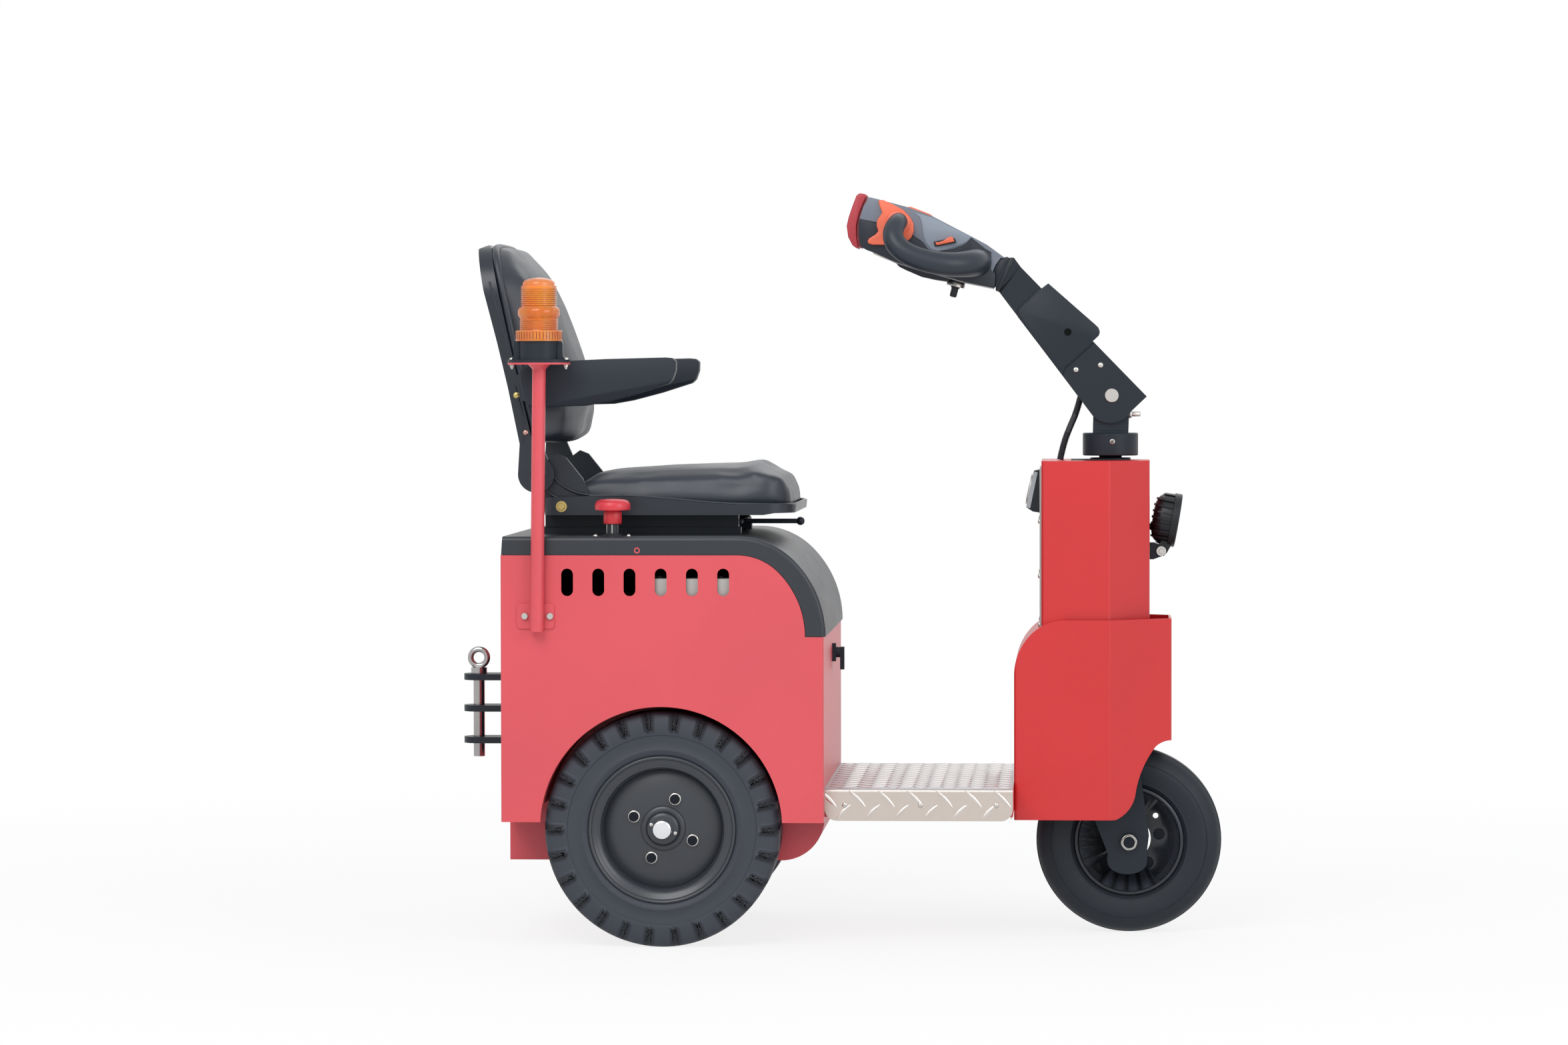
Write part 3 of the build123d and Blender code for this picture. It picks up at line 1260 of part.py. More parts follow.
# Backrest: a shell with a knuckle each side on the pan's ears, its cushion and two armrests
with BuildPart() as backrest_shell:
    with BuildSketch(side_plane(0)):
        Polygon(
            (-312.6, 1144.8), (-298, 1152), (-291, 1146), (-240, 915), (-218, 822), (-240, 822), (-259, 914),
            (-277, 990), (-299, 1074), align=None,
        )
    extrude(amount=seat_half_width, both=True)
    with BuildSketch(Plane.YZ.offset(-320)):
        rounded_outline((-seat_half_width, 800), (seat_half_width, 1152), 2, backrest_corner_radius, along_x=False)
    extrude(amount=320, mode=Mode.INTERSECT)
    knuckle_inner_y = ear_outer_y + knuckle_gap
    for _, sign in SIDES:
        with BuildSketch(side_plane(sign * knuckle_inner_y)):
            with Locations((recline_x + 1, recline_z)):
                Circle(knuckle_radius)
            Polygon(
                (-240, 823), (recline_x + 1 - knuckle_radius, recline_z), (recline_x + 1 + knuckle_radius, recline_z),
                (-205, 823), align=None,
            )
        extrude(amount=-sign * (seat_half_width - knuckle_inner_y))
        with Locations((recline_x, sign * (ear_outer_y - ear_thickness / 2), recline_z)):
            Cylinder(recline_pin_radius - bearing_gap, ear_thickness + 6, rotation=(90, 0, 0))
        with BuildSketch(side_plane(sign * seat_half_width)):
            boss_rear_x = armrest_pivot_x - 42
            boss_front_x = armrest_pivot_x + 18
            boss_rise = 22
            Polygon(
                (boss_rear_x, armrest_pivot_z - boss_rise), (boss_front_x - 10, armrest_pivot_z - boss_rise),
                (boss_front_x, armrest_pivot_z - boss_rise / 2), (boss_front_x, armrest_pivot_z + boss_rise / 2),
                (boss_front_x - 10, armrest_pivot_z + boss_rise), (boss_rear_x, armrest_pivot_z + boss_rise),
                align=None,
            )
            with Locations((armrest_pivot_x, armrest_pivot_z)):
                Circle(armrest_pin_radius + bearing_gap, mode=Mode.SUBTRACT)
        extrude(amount=sign * (seat_half_width - knuckle_inner_y))
save(backrest_shell, "backrest_shell")

with BuildPart() as backrest_cushion:
    with BuildSketch(side_plane(0)):
        Polygon(
            (-290.7, 1146), (-285, 1152), (-256, 1149), (-223, 1101), (-198, 1048), (-166, 962), (-143, 876),
            (-146, 836), (-170, 826), (-218.6, 826), (-239.7, 915), align=None,
        )
    backrest_half_width = seat_half_width - cushion_inset
    extrude(amount=backrest_half_width, both=True)
    with BuildSketch(Plane.YZ.offset(-320)):
        top_radius = backrest_corner_radius - cushion_inset / 2
        rounded_outline((-backrest_half_width, 820), (backrest_half_width, 1152), 12, top_radius, along_x=False)
    extrude(amount=320, mode=Mode.INTERSECT)
save(backrest_cushion, "backrest_cushion")

for side, sign in SIDES:
    with BuildPart() as armrest:
        with BuildSketch(side_plane(sign * armrest_outer_y)):
            Polygon(
                (-233, 946), (-224, 895), (-192, 883), (-144, 883), (-64, 897), (7, 922), (17, 930),
                (24, 950), (17, 964), (-64, 962), (-144, 960), align=None,
            )
        extrude(amount=sign * armrest_width)
        with Locations((armrest_pivot_x, sign * (armrest_outer_y - armrest_width), armrest_pivot_z)):
            Cylinder(
                armrest_pin_radius, armrest_outer_y - armrest_width - ear_outer_y - 3,
                rotation=(90 * sign, 0, 0), align=(Align.CENTER, Align.CENTER, Align.MIN),
            )
    save(armrest, f"armrest_{side}")
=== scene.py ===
import json
from math import atan2, cos, degrees, hypot, pi, radians, sin, sqrt

import bmesh
import bpy
from mathutils import Matrix, Quaternion, Vector


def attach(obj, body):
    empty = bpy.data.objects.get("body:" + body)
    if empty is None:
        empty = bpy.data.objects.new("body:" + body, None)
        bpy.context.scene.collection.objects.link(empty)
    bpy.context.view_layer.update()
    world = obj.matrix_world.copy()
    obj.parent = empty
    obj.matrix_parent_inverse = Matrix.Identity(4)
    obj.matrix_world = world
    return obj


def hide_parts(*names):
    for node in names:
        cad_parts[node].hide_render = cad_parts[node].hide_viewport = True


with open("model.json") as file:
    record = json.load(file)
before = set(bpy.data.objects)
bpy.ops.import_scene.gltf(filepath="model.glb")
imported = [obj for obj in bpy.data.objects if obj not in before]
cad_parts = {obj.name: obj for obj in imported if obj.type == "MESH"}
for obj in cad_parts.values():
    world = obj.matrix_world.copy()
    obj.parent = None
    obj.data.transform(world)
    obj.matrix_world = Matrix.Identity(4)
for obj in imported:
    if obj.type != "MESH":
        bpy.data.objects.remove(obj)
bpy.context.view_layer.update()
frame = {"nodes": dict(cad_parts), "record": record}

# Pieces are drawn in millimetres from the floor under the middle of the rear axle, as the drawing has them.
# They are moved into the part's own frame, in metres, when they are finished.
MM = 0.001
AXLE_TO_PART = Vector((-0.28005, 0.02625, 0.0))
SIDES = (("right", -1), ("left", 1))
UP = (0, 0, 1)


class Signal:
    """A number that runs through a material, so that masks are written as plain sums."""

    def __init__(self, recipe, socket):
        self.recipe = recipe
        self.socket = socket

    def blend(self, operation, *others, swap=False, clamp=False):
        values = [self, *others]
        if swap:
            values = values[::-1]
        node = self.recipe.node("ShaderNodeMath", {"operation": operation, "use_clamp": clamp}, dict(enumerate(values)))
        return Signal(self.recipe, node.outputs[0])

    def __add__(self, other):
        return self.blend("ADD", other)

    def __radd__(self, other):
        return self.blend("ADD", other)

    def __sub__(self, other):
        return self.blend("SUBTRACT", other)

    def __rsub__(self, other):
        return self.blend("SUBTRACT", other, swap=True)

    def __mul__(self, other):
        return self.blend("MULTIPLY", other)

    def __rmul__(self, other):
        return self.blend("MULTIPLY", other)

    def __truediv__(self, other):
        return self.blend("DIVIDE", other)

    def __pow__(self, other):
        return self.blend("POWER", other)

    def clamped(self):
        return self.blend("ADD", 0.0, clamp=True)

    def over(self, low, high):
        """0 below low, 1 above high and straight between."""
        return ((self - low) * (1.0 / (high - low))).clamped()


class Recipe:
    """A material's nodes, with the object's own coordinates at hand."""

    def __init__(self, name, **plain):
        self.material = bpy.data.materials.new(name)
        self.material.use_nodes = True
        self.tree = self.material.node_tree
        self.shader = self.tree.nodes["Principled BSDF"]
        self.place = self.node("ShaderNodeTexCoord").outputs["Object"]
        for socket, value in plain.items():
            self.set(socket.replace("_", " "), value)

    def node(self, kind, settings=None, sockets=None):
        made = self.tree.nodes.new(kind)
        for name, value in (settings or {}).items():
            if name == "stops":
                while len(made.color_ramp.elements) < len(value):
                    made.color_ramp.elements.new(0.5)
                for element, (position, colour) in zip(made.color_ramp.elements, value):
                    element.position = position
                    element.color = (*colour, 1.0)
            else:
                setattr(made, name, value)
        for name, value in (sockets or {}).items():
            if isinstance(value, Signal):
                value = value.socket
            if isinstance(value, bpy.types.NodeSocket):
                self.tree.links.new(value, made.inputs[name])
            elif value is not None:
                made.inputs[name].default_value = value
        return made

    def set(self, name, value):
        if isinstance(value, Signal):
            value = value.socket
        if isinstance(value, bpy.types.NodeSocket):
            self.tree.links.new(value, self.shader.inputs[name])
        else:
            self.shader.inputs[name].default_value = (*value, 1.0) if isinstance(value, tuple) else value

    def noise(self, scale, detail=2.0, roughness=0.5, stretch=None):
        where = self.place
        if stretch:
            where = self.node("ShaderNodeMapping", None, {"Vector": where, "Scale": stretch}).outputs["Vector"]
        sockets = {"Vector": where, "Scale": scale, "Detail": detail, "Roughness": roughness}
        return Signal(self, self.node("ShaderNodeTexNoise", None, sockets).outputs[0])

    def cells(self, scale, feature="F1"):
        sockets = {"Vector": self.place, "Scale": scale}
        return Signal(self, self.node("ShaderNodeTexVoronoi", {"feature": feature}, sockets).outputs["Distance"])

    def axis(self, name):
        split = self.node("ShaderNodeSeparateXYZ", None, {"Vector": self.place})
        return Signal(self, split.outputs[name])

    def colours(self, mask, first, second):
        sockets = {"Factor": mask, "A": self.colour(first), "B": self.colour(second)}
        mixed = self.tree.nodes.new("ShaderNodeMix")
        mixed.data_type = "RGBA"
        self.tree.links.new(mask.socket, mixed.inputs["Factor"])
        for slot, value in ((6, sockets["A"]), (7, sockets["B"])):
            if isinstance(value, bpy.types.NodeSocket):
                self.tree.links.new(value, mixed.inputs[slot])
            else:
                mixed.inputs[slot].default_value = value
        return mixed.outputs[2]

    def colour(self, value):
        return (*value, 1.0) if isinstance(value, tuple) else value

    def bump(self, height, depth_mm, strength=1.0):
        sockets = {"Height": height, "Distance": depth_mm * MM, "Strength": strength}
        self.set("Normal", self.node("ShaderNodeBump", None, sockets).outputs["Normal"])


def srgb(red, green, blue):
    """A screen colour from 0 to 255 as the linear colour that a shader takes."""
    return tuple(c / 12.92 if c <= 0.04045 else ((c + 0.055) / 1.055) ** 2.4 for c in (red / 255, green / 255, blue / 255))


def powder_coat(name, tone, grain, gloss, shine=0.5, coat=0.12):
    paint = Recipe(name, Roughness=gloss, Specular_IOR_Level=shine, Coat_Weight=coat, Coat_Roughness=0.25)
    cloud = paint.noise(4.0, 3.0)
    paint.set("Base Color", paint.colours(cloud.over(0.35, 0.7), tone, tuple(c * 0.93 for c in tone)))
    dimples = paint.noise(grain, 3.0, 0.6)
    paint.set("Roughness", gloss + (dimples - 0.5) * 0.12)
    paint.bump(dimples, 0.06)
    return paint.material


def moulded(name, tone, gloss, grain=900.0, depth=0.05, shine=0.5):
    plastic = Recipe(name, Roughness=gloss, Specular_IOR_Level=shine)
    cloud = plastic.noise(6.0, 3.0)
    plastic.set("Base Color", plastic.colours(cloud.over(0.3, 0.7), tone, tuple(c * 0.88 for c in tone)))
    grain_height = plastic.cells(grain)
    plastic.set("Roughness", gloss + (plastic.noise(30.0, 3.0) - 0.5) * 0.15)
    plastic.bump(grain_height, depth)
    return plastic.material


def metal(name, tone, gloss, brushed=(1, 1, 1), scale=300.0, depth=0.02):
    steel = Recipe(name, Metallic=1.0, Roughness=gloss)
    scratches = steel.noise(scale, 4.0, 0.6, brushed)
    steel.set("Base Color", steel.colours(steel.noise(9.0, 3.0).over(0.3, 0.7), tone, tuple(c * 0.85 for c in tone)))
    steel.set("Roughness", gloss + (scratches - 0.5) * 0.2)
    steel.bump(scratches, depth)
    return steel.material


def plate_steel():
    """Chequer plate, greyer on top than down its lips, as painted light: the lips, which face the camera and the floor
    in front, are painted lighter and warmer.
    """
    steel = Recipe("chequer_plate", Metallic=1.0, Roughness=0.44)
    painted_top_shade = steel.axis("Z").over(0.2555, 0.2585)
    scratches = steel.noise(90.0, 4.0, 0.6, (1, 14, 1))
    # Painted light: the top is painted greyer and the lips lighter and warmer, for how light and the floor's reflection
    # fall on them.
    steel.set("Base Color", steel.colours(painted_top_shade, srgb(200, 190, 182), srgb(180, 178, 180)))
    steel.set("Roughness", 0.44 + (scratches - 0.5) * 0.2)
    steel.bump(scratches, 0.05)
    return steel.material


red_paint = powder_coat("red_paint", srgb(214, 78, 86), 700.0, 0.42)
column_paint = powder_coat("column_paint", srgb(201, 38, 40), 700.0, 0.38)
black_paint = powder_coat("black_paint", srgb(27, 35, 44), 900.0, 0.45, 0.28, 0.03)
rim_paint = powder_coat("rim_paint", srgb(49, 53, 59), 500.0, 0.32)
deck_plastic = moulded("deck_plastic", srgb(36, 41, 48), 0.42)
seat_plastic = moulded("seat_plastic", srgb(30, 37, 46), 0.34, shine=0.45)
vinyl = moulded("vinyl", srgb(39, 45, 55), 0.4, 1400.0, 0.06)
armrest_foam = moulded("armrest_foam", srgb(35, 42, 51), 0.5, 1400.0, 0.04, 0.34)
tyre_rubber = moulded("tyre_rubber", srgb(49, 54, 63), 0.6, 400.0, 0.06)
front_rubber = moulded("front_rubber", srgb(27, 34, 42), 0.55, 400.0, 0.06, 0.34)
bright_zinc = metal("bright_zinc", srgb(206, 203, 198), 0.3)
yellow_zinc = metal("yellow_zinc", srgb(206, 186, 120), 0.32)
pink_zinc = metal("pink_zinc", srgb(205, 160, 148), 0.34)
pin_steel = metal("pin_steel", srgb(168, 166, 166), 0.2, (1, 1, 8), 120.0, 0.01)
chrome = metal("chrome", srgb(232, 234, 238), 0.08, depth=0.004)
bolt_black = metal("bolt_black", srgb(40, 44, 50), 0.42)
chequer_plate = plate_steel()
# Steel for the footplate's raised marks, lighter than the plate round them.
pale_mark_steel = metal("pale_mark_steel", srgb(216, 208, 202), 0.3)
tiller_plastic = moulded("tiller_plastic", srgb(33, 39, 48), 0.45, shine=0.36)
tiller_grey = moulded("tiller_grey", srgb(112, 119, 131), 0.4)
grip_plastic = moulded("grip_plastic", srgb(42, 49, 59), 0.4, shine=0.36)
orange_plastic = moulded("orange_plastic", srgb(238, 112, 80), 0.4)
red_plastic = moulded("red_plastic", srgb(172, 50, 60), 0.38)
battery_grey = moulded("battery_grey", srgb(190, 192, 188), 0.5)
motor_enamel = moulded("motor_enamel", srgb(60, 62, 66), 0.45)
black_plastic = moulded("black_plastic", srgb(28, 33, 39), 0.42, shine=0.36)
lamp_black = moulded("lamp_black", srgb(18, 21, 26), 0.4, shine=0.36)
tiller_light = moulded("tiller_light", srgb(140, 149, 162), 0.4)
dark_red_plastic = moulded("dark_red_plastic", srgb(158, 52, 58), 0.4)
rim_gloss = powder_coat("rim_gloss", srgb(48, 52, 59), 500.0, 0.26, 0.4, 0.1)
hose_black = moulded("hose_black", srgb(33, 36, 42), 0.34, 600.0)
stop_cap_red = moulded("stop_cap_red", srgb(208, 52, 64), 0.34)
stop_stem_red = moulded("stop_stem_red", srgb(196, 42, 50), 0.4)
# Near black with little shine: painted shade, for holes and for the dark behind the battery's slots.
shade_black = moulded("shade_black", srgb(8, 9, 11), 0.7, shine=0.1)
rail_grey = moulded("rail_grey", srgb(172, 172, 166), 0.5)
lamp_diode = moulded("lamp_diode", srgb(238, 232, 200), 0.2)
gauge_grey = moulded("gauge_grey", srgb(176, 180, 184), 0.3)
dial_paper = moulded("dial_paper", srgb(226, 226, 220), 0.6)
amber_core = moulded("amber_core", srgb(255, 190, 92), 0.3)
amber_pale = moulded("amber_pale", srgb(240, 150, 100), 0.35)
# Dark amber for the beacon's reflectors, and for the painted shade lines in its ribs and on its foot ring.
amber_dark = moulded("amber_dark", srgb(112, 34, 24), 0.35)


def clear_amber():
    """Tinted clear plastic that lets part of what is inside show through."""
    glass = Recipe("amber", Roughness=0.14, Coat_Weight=0.5, Coat_Roughness=0.08)
    streaks = glass.noise(40.0, 3.0)
    glass.set("Base Color", glass.colours(streaks.over(0.35, 0.65), srgb(255, 154, 46), srgb(255, 128, 36)))
    glass.set("Alpha", 0.56 + (streaks - 0.5) * 0.12)
    return glass.material


amber = clear_amber()


def clear_moulding():
    """Clear hard plastic over a dial or a reflector."""
    glass = Recipe("clear_cover", Roughness=0.06, Coat_Weight=0.6, Coat_Roughness=0.04)
    haze = glass.noise(60.0, 3.0)
    glass.set("Base Color", glass.colours(haze.over(0.3, 0.7), srgb(232, 236, 240), srgb(214, 220, 226)))
    glass.set("Alpha", 0.2 + haze.over(0.45, 0.8) * 0.12)
    return glass.material


clear_cover = clear_moulding()

CAD_FINISHES = {
    "red_paint": red_paint,
    "black_paint": black_paint,
    "deck_plastic": deck_plastic,
    "seat_shell": seat_plastic,
    "vinyl": vinyl,
    "tyre_rubber": tyre_rubber,
    "rim_paint": rim_paint,
    "chequer_plate": chequer_plate,
    "bare_steel": bright_zinc,
    "amber_lens": amber,
    "tiller_plastic": tiller_plastic,
    "orange_plastic": orange_plastic,
    "red_plastic": red_plastic,
    "battery_case": battery_grey,
    "motor_case": motor_enamel,
    "lamp_body": lamp_black,
    "gauge_plastic": black_plastic,
    "hose_plastic": black_plastic,
}
for part in frame["record"]["subparts"]:
    node = frame["nodes"][part["node"]]
    finish = CAD_FINISHES[part["material_slot"]]
    if part["node"] in ("column_shell", "front_cowl"):
        finish = column_paint
    elif part["node"] == "column_back_cover":
        finish = rail_grey
    elif part["node"] == "front_spindle":
        finish = bolt_black
    elif part["node"] == "tow_pin":
        finish = pin_steel
    node.data.materials.clear()
    node.data.materials.append(finish)


def turned(rows, centre=(0, 0, 0), axis=(0, 1, 0), steps=96, start=None):
    """A shape turned about an axis through its centre. The rows run (along the axis, out from it)."""
    shape = bmesh.new()
    centre, axis = Vector(centre), Vector(axis).normalized()
    out = Vector(start) if start else axis.orthogonal().normalized()
    points = [shape.verts.new(centre + axis * along + out * away) for along, away in rows]
    edges = [shape.edges.new(pair) for pair in zip(points, points[1:])]
    if max(rows[0][1], rows[-1][1]) > 0.01:
        edges.append(shape.edges.new((points[-1], points[0])))
    bmesh.ops.spin(shape, geom=points + edges, cent=centre, axis=axis, angle=2 * pi, steps=steps, use_merge=True)
    bmesh.ops.remove_doubles(shape, verts=shape.verts, dist=0.002)
    bmesh.ops.recalc_face_normals(shape, faces=shape.faces)
    return shape


def push(shape, faces, along):
    """Draws faces out of a shape along a vector, and returns the points at their new place."""
    drawn = bmesh.ops.extrude_face_region(shape, geom=faces)["geom"]
    moved = [item for item in drawn if isinstance(item, bmesh.types.BMVert)]
    bmesh.ops.translate(shape, vec=Vector(along), verts=moved)
    bmesh.ops.recalc_face_normals(shape, faces=shape.faces)
    return moved


def slab(points, along):
    """A flat outline pushed along a vector into a closed slab."""
    shape = bmesh.new()
    push(shape, [shape.faces.new([shape.verts.new(point) for point in points])], along)
    return shape


def plate(outline, y, thickness):
    """A slab whose outline is drawn in the side view, as (along, height) pairs, from y on."""
    return slab([(x, y, z) for x, z in outline], (0, thickness, 0))


def block(low, high):
    (x0, y0, z0), (x1, y1, z1) = low, high
    return slab([(x0, y0, z0), (x1, y0, z0), (x1, y1, z0), (x0, y1, z0)], (0, 0, z1 - z0))


def rod(start, end, radius, end_radius=None, segments=32):
    start, end = Vector(start), Vector(end)
    shape = bmesh.new()
    last = radius if end_radius is None else end_radius
    bmesh.ops.create_cone(
        shape, cap_ends=True, segments=segments, radius1=radius, radius2=last, depth=(end - start).length
    )
    turn = (end - start).to_track_quat("Z", "Y").to_matrix().to_4x4()
    bmesh.ops.transform(shape, matrix=Matrix.Translation((start + end) / 2) @ turn, verts=shape.verts)
    return shape


def tube(points, radius, sizes=None, order=4, around=4, along=8):
    """A round bar that follows a smooth line, with the size at each point as a share of the radius."""
    line = bpy.data.curves.new("line", "CURVE")
    line.dimensions = "3D"
    line.bevel_depth = radius
    line.bevel_resolution = around
    line.resolution_u = along
    line.use_fill_caps = True
    spline = line.splines.new("NURBS")
    spline.points.add(len(points) - 1)
    for point, place, size in zip(spline.points, points, sizes or [1.0] * len(points)):
        point.co = (*place, 1.0)
        point.radius = size
    spline.order_u = order
    spline.use_endpoint_u = True
    holder = bpy.data.objects.new("line", line)
    mesh = bpy.data.meshes.new_from_object(holder)
    shape = bmesh.new()
    shape.from_mesh(mesh)
    bpy.data.objects.remove(holder)
    bpy.data.curves.remove(line)
    bpy.data.meshes.remove(mesh)
    bmesh.ops.remove_doubles(shape, verts=shape.verts, dist=0.002)
    bmesh.ops.recalc_face_normals(shape, faces=shape.faces)
    return shape


def joined(*shapes):
    whole = shapes[0]
    for other in shapes[1:]:
        spare = bpy.data.meshes.new("spare")
        other.to_mesh(spare)
        other.free()
        whole.from_mesh(spare)
        bpy.data.meshes.remove(spare)
    return whole


def rounded(shape, width, segments=2, angle=35, keep=None):
    """Bevels the edges sharper than an angle, or only those that keep picks out."""
    edges = [edge for edge in shape.edges if len(edge.link_faces) == 2 and edge.calc_face_angle(0) > radians(angle)]
    if keep:
        edges = [edge for edge in edges if keep((edge.verts[0].co + edge.verts[1].co) / 2)]
    bmesh.ops.bevel(
        shape, geom=edges, offset=width, offset_type="OFFSET", affect="EDGES", segments=segments, profile=0.5,
        material=-1, clamp_overlap=True,
    )
    return shape


def placed(shape, place, out=UP, turn=0.0):
    """Moves a shape drawn at the origin, facing up, to its place and turns it to face out."""
    aim = Vector(out).to_track_quat("Z", "Y").to_matrix().to_4x4()
    where = Matrix.Translation(Vector(place)) @ aim @ Matrix.Rotation(radians(turn), 4, "Z")
    bmesh.ops.transform(shape, matrix=where, verts=shape.verts)
    return shape


def settle(shape, name, body, finish, replaces=(), smooth=38):
    """Moves a finished shape into the part's frame and lets it ride on its body."""
    into_part = Matrix.Translation(AXLE_TO_PART) @ Matrix.Scale(MM, 4)
    bmesh.ops.transform(shape, matrix=into_part, verts=shape.verts)
    for face in shape.faces:
        face.smooth = True
    mesh = bpy.data.meshes.new(name)
    shape.to_mesh(mesh)
    shape.free()
    mesh.set_sharp_from_angle(angle=radians(smooth))
    mesh.materials.append(finish)
    piece = bpy.data.objects.new(name, mesh)
    bpy.context.collection.objects.link(piece)
    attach(piece, body)
    if replaces:
        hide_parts(*replaces)
    return piece


# Fasteners, drawn at the origin facing up
def cross_head(radius, height):
    head = turned(
        [(0, 0), (0, radius), (height * 0.35, radius), (height * 0.8, radius * 0.8), (height, radius * 0.5), (height, 0)],
        axis=UP, steps=16,
    )
    arms = []
    for face in head.faces:
        middle = face.calc_center_median()
        if middle.z > height * 0.97 and atan2(middle.y, middle.x) % (pi / 2) < pi / 8:
            arms.append(face)
    bmesh.ops.inset_individual(head, faces=arms, thickness=radius * 0.03, depth=-height * 0.4)
    return head


def hex_head(radius, height, washer=1.5, washer_height=1.0):
    head = rod((0, 0, washer_height), (0, 0, washer_height + height), radius, segments=6)
    rounded(head, radius * 0.08, 1)
    disc = turned([(0, 0), (0, radius * washer), (washer_height, radius * washer), (washer_height, 0)], axis=UP, steps=24)
    return joined(head, disc)


def socket_head(radius, height, recess=0.55, depth=0.6):
    """A cap screw with a six-sided socket in its top."""
    head = rod((0, 0, 0), (0, 0, height), radius, segments=24)
    rounded(head, radius * 0.1, 1, keep=lambda middle: middle.z > height * 0.9)
    top = [face for face in head.faces if face.calc_center_median().z > height - 0.001 and len(face.verts) > 8]
    bmesh.ops.inset_region(head, faces=top, thickness=radius * (0.9 - recess))
    for corner in top[0].verts:
        angle = (atan2(corner.co.y, corner.co.x) + pi / 6) % (pi / 3) - pi / 6
        flat = radius * recess * 0.87 / cos(angle)
        corner.co.xy = corner.co.xy.normalized() * flat
    push(head, top, (0, 0, -height * depth))
    return head


# Rear wheels: a moulded tyre with shoulder notches, a pressed rim with a deep dish, and the hub with its cap
LUGS = 26
TYRE_STEPS = 5 * LUGS
REAR_TREAD = [
    (44, 103), (45, 119), (50, 121), (53, 125), (54.2, 129.5), (54.6, 131), (54.2, 132.5), (53.2, 134.5), (53.4, 145),
    (54.4, 154.5), (55.6, 155.4), (56, 157), (56, 164), (55.8, 170), (54.6, 178), (52.8, 184.5), (50.5, 188.5),
    (47.5, 191), (43, 192.3), (36, 192.5), (30, 192.5), (0, 192.5),
]
NOTCH_FLOOR = (Vector((56, 164)), Vector((30, 192.5)))


def rear_tyre(centre):
    rows = REAR_TREAD + [(-across, out) for across, out in REAR_TREAD[-2::-1]]
    half_step = pi / TYRE_STEPS
    tyre = turned(rows, centre, steps=TYRE_STEPS, start=(cos(half_step), 0, sin(half_step)))
    middle = Vector(centre)
    notches = []
    for face in tyre.faces:
        place = face.calc_center_median() - middle
        out = hypot(place.x, place.z)
        turn = round(atan2(place.z, place.x) / (2 * half_step)) % 5
        wanted = 0 if place.y < 0 else 2
        if turn == wanted and out > 164 and abs(place.y) > 30:
            notches.append(face)
    drawn = bmesh.ops.extrude_face_region(tyre, geom=notches)["geom"]
    low, high = NOTCH_FLOOR
    for item in drawn:
        if isinstance(item, bmesh.types.BMVert):
            place = item.co - middle
            out = hypot(place.x, place.z)
            flat = Vector((abs(place.y), out))
            share = (flat - low).dot(high - low) / (high - low).length_squared
            floor_point = low + (high - low) * share
            scale = floor_point.y / out
            item.co = middle + Vector((place.x * scale, floor_point.x * (1 if place.y > 0 else -1), place.z * scale))
    bmesh.ops.remove_doubles(tyre, verts=tyre.verts, dist=0.01)
    bmesh.ops.dissolve_degenerate(tyre, edges=tyre.edges, dist=0.01)
    bmesh.ops.recalc_face_normals(tyre, faces=tyre.faces)
    return tyre


RIM_ROWS = [
    (44, 102), (44, 120.5), (46, 121), (50.5, 121), (52.3, 119.8), (52.6, 118), (51.6, 116), (49.5, 115),
    (48.2, 113.5), (47, 109), (43.5, 103), (38, 98.8), (30, 98), (26, 98), (20.5, 98), (20.5, 97.2), (21.3, 97),
    (22, 96), (22, 37.6), (21, 37.3), (21, 36.6), (22, 36.3), (22, 30), (16, 30), (16, 97), (-30, 98), (-40, 99),
    (-48, 104), (-48, 121), (-44, 121),
]
HUB_ROWS = [
    (-42, 14.2), (-42, 26), (8, 26), (8, 66), (15.9, 66), (15.9, 36), (22.3, 36), (23, 35.2), (23.5, 29), (27, 28),
    (31, 26.5), (33, 24), (33.6, 20), (33.6, 14.2),
]
CAP_ROWS = [(30, 0), (30, 16.4), (49.5, 16.4), (51.5, 15.9), (53.5, 14), (54.2, 11.5), (54.4, 0)]

for side, out in SIDES:
    wheel = f"rear_wheel_{side}"
    centre = (0, 242 * out, 192.5)
    facing = (0, out, 0)
    settle(rear_tyre(centre), f"rear_tyre_{side}_moulded", wheel, tyre_rubber, [f"rear_tyre_{side}"])
    settle(turned(RIM_ROWS, centre, facing, 120), f"rear_rim_{side}_pressed", wheel, rim_paint,
           [f"rear_rim_{side}"], smooth=50)
    settle(turned(HUB_ROWS, centre, facing, 72), f"rear_hub_{side}_turned", wheel, rim_paint,
           [f"rear_hub_{side}"], smooth=50)
    settle(turned(CAP_ROWS, centre, facing, 64), f"rear_cap_{side}", wheel, chrome, smooth=50)
    washers, bolts, pins = [], [], []
    for quarter in range(4):
        angle = radians(68 + 90 * quarter)
        seat = Vector(centre) + Vector((52 * cos(angle), 22 * out, 52 * sin(angle)))
        washers.append(placed(turned([(0, 7), (0, 9.6), (1.2, 9.6), (1.5, 9.2), (1.5, 7)], axis=UP, steps=32), seat, facing))
        bolts.append(placed(socket_head(8.1, 8.5, 0.6, 0.7), seat, facing, 20 * quarter))
    for x, z in ((-19, 7), (20.5, -7)):
        spot = Vector(centre) + Vector((x, 33.4 * out, z))
        pins.append(placed(cross_head(3.4, 2.0), spot, facing))
    settle(joined(*washers), f"rear_washers_{side}", wheel, bright_zinc)
    settle(joined(*bolts), f"rear_bolts_{side}", wheel, bolt_black)
    settle(joined(*pins), f"rear_cap_screws_{side}", wheel, bright_zinc)
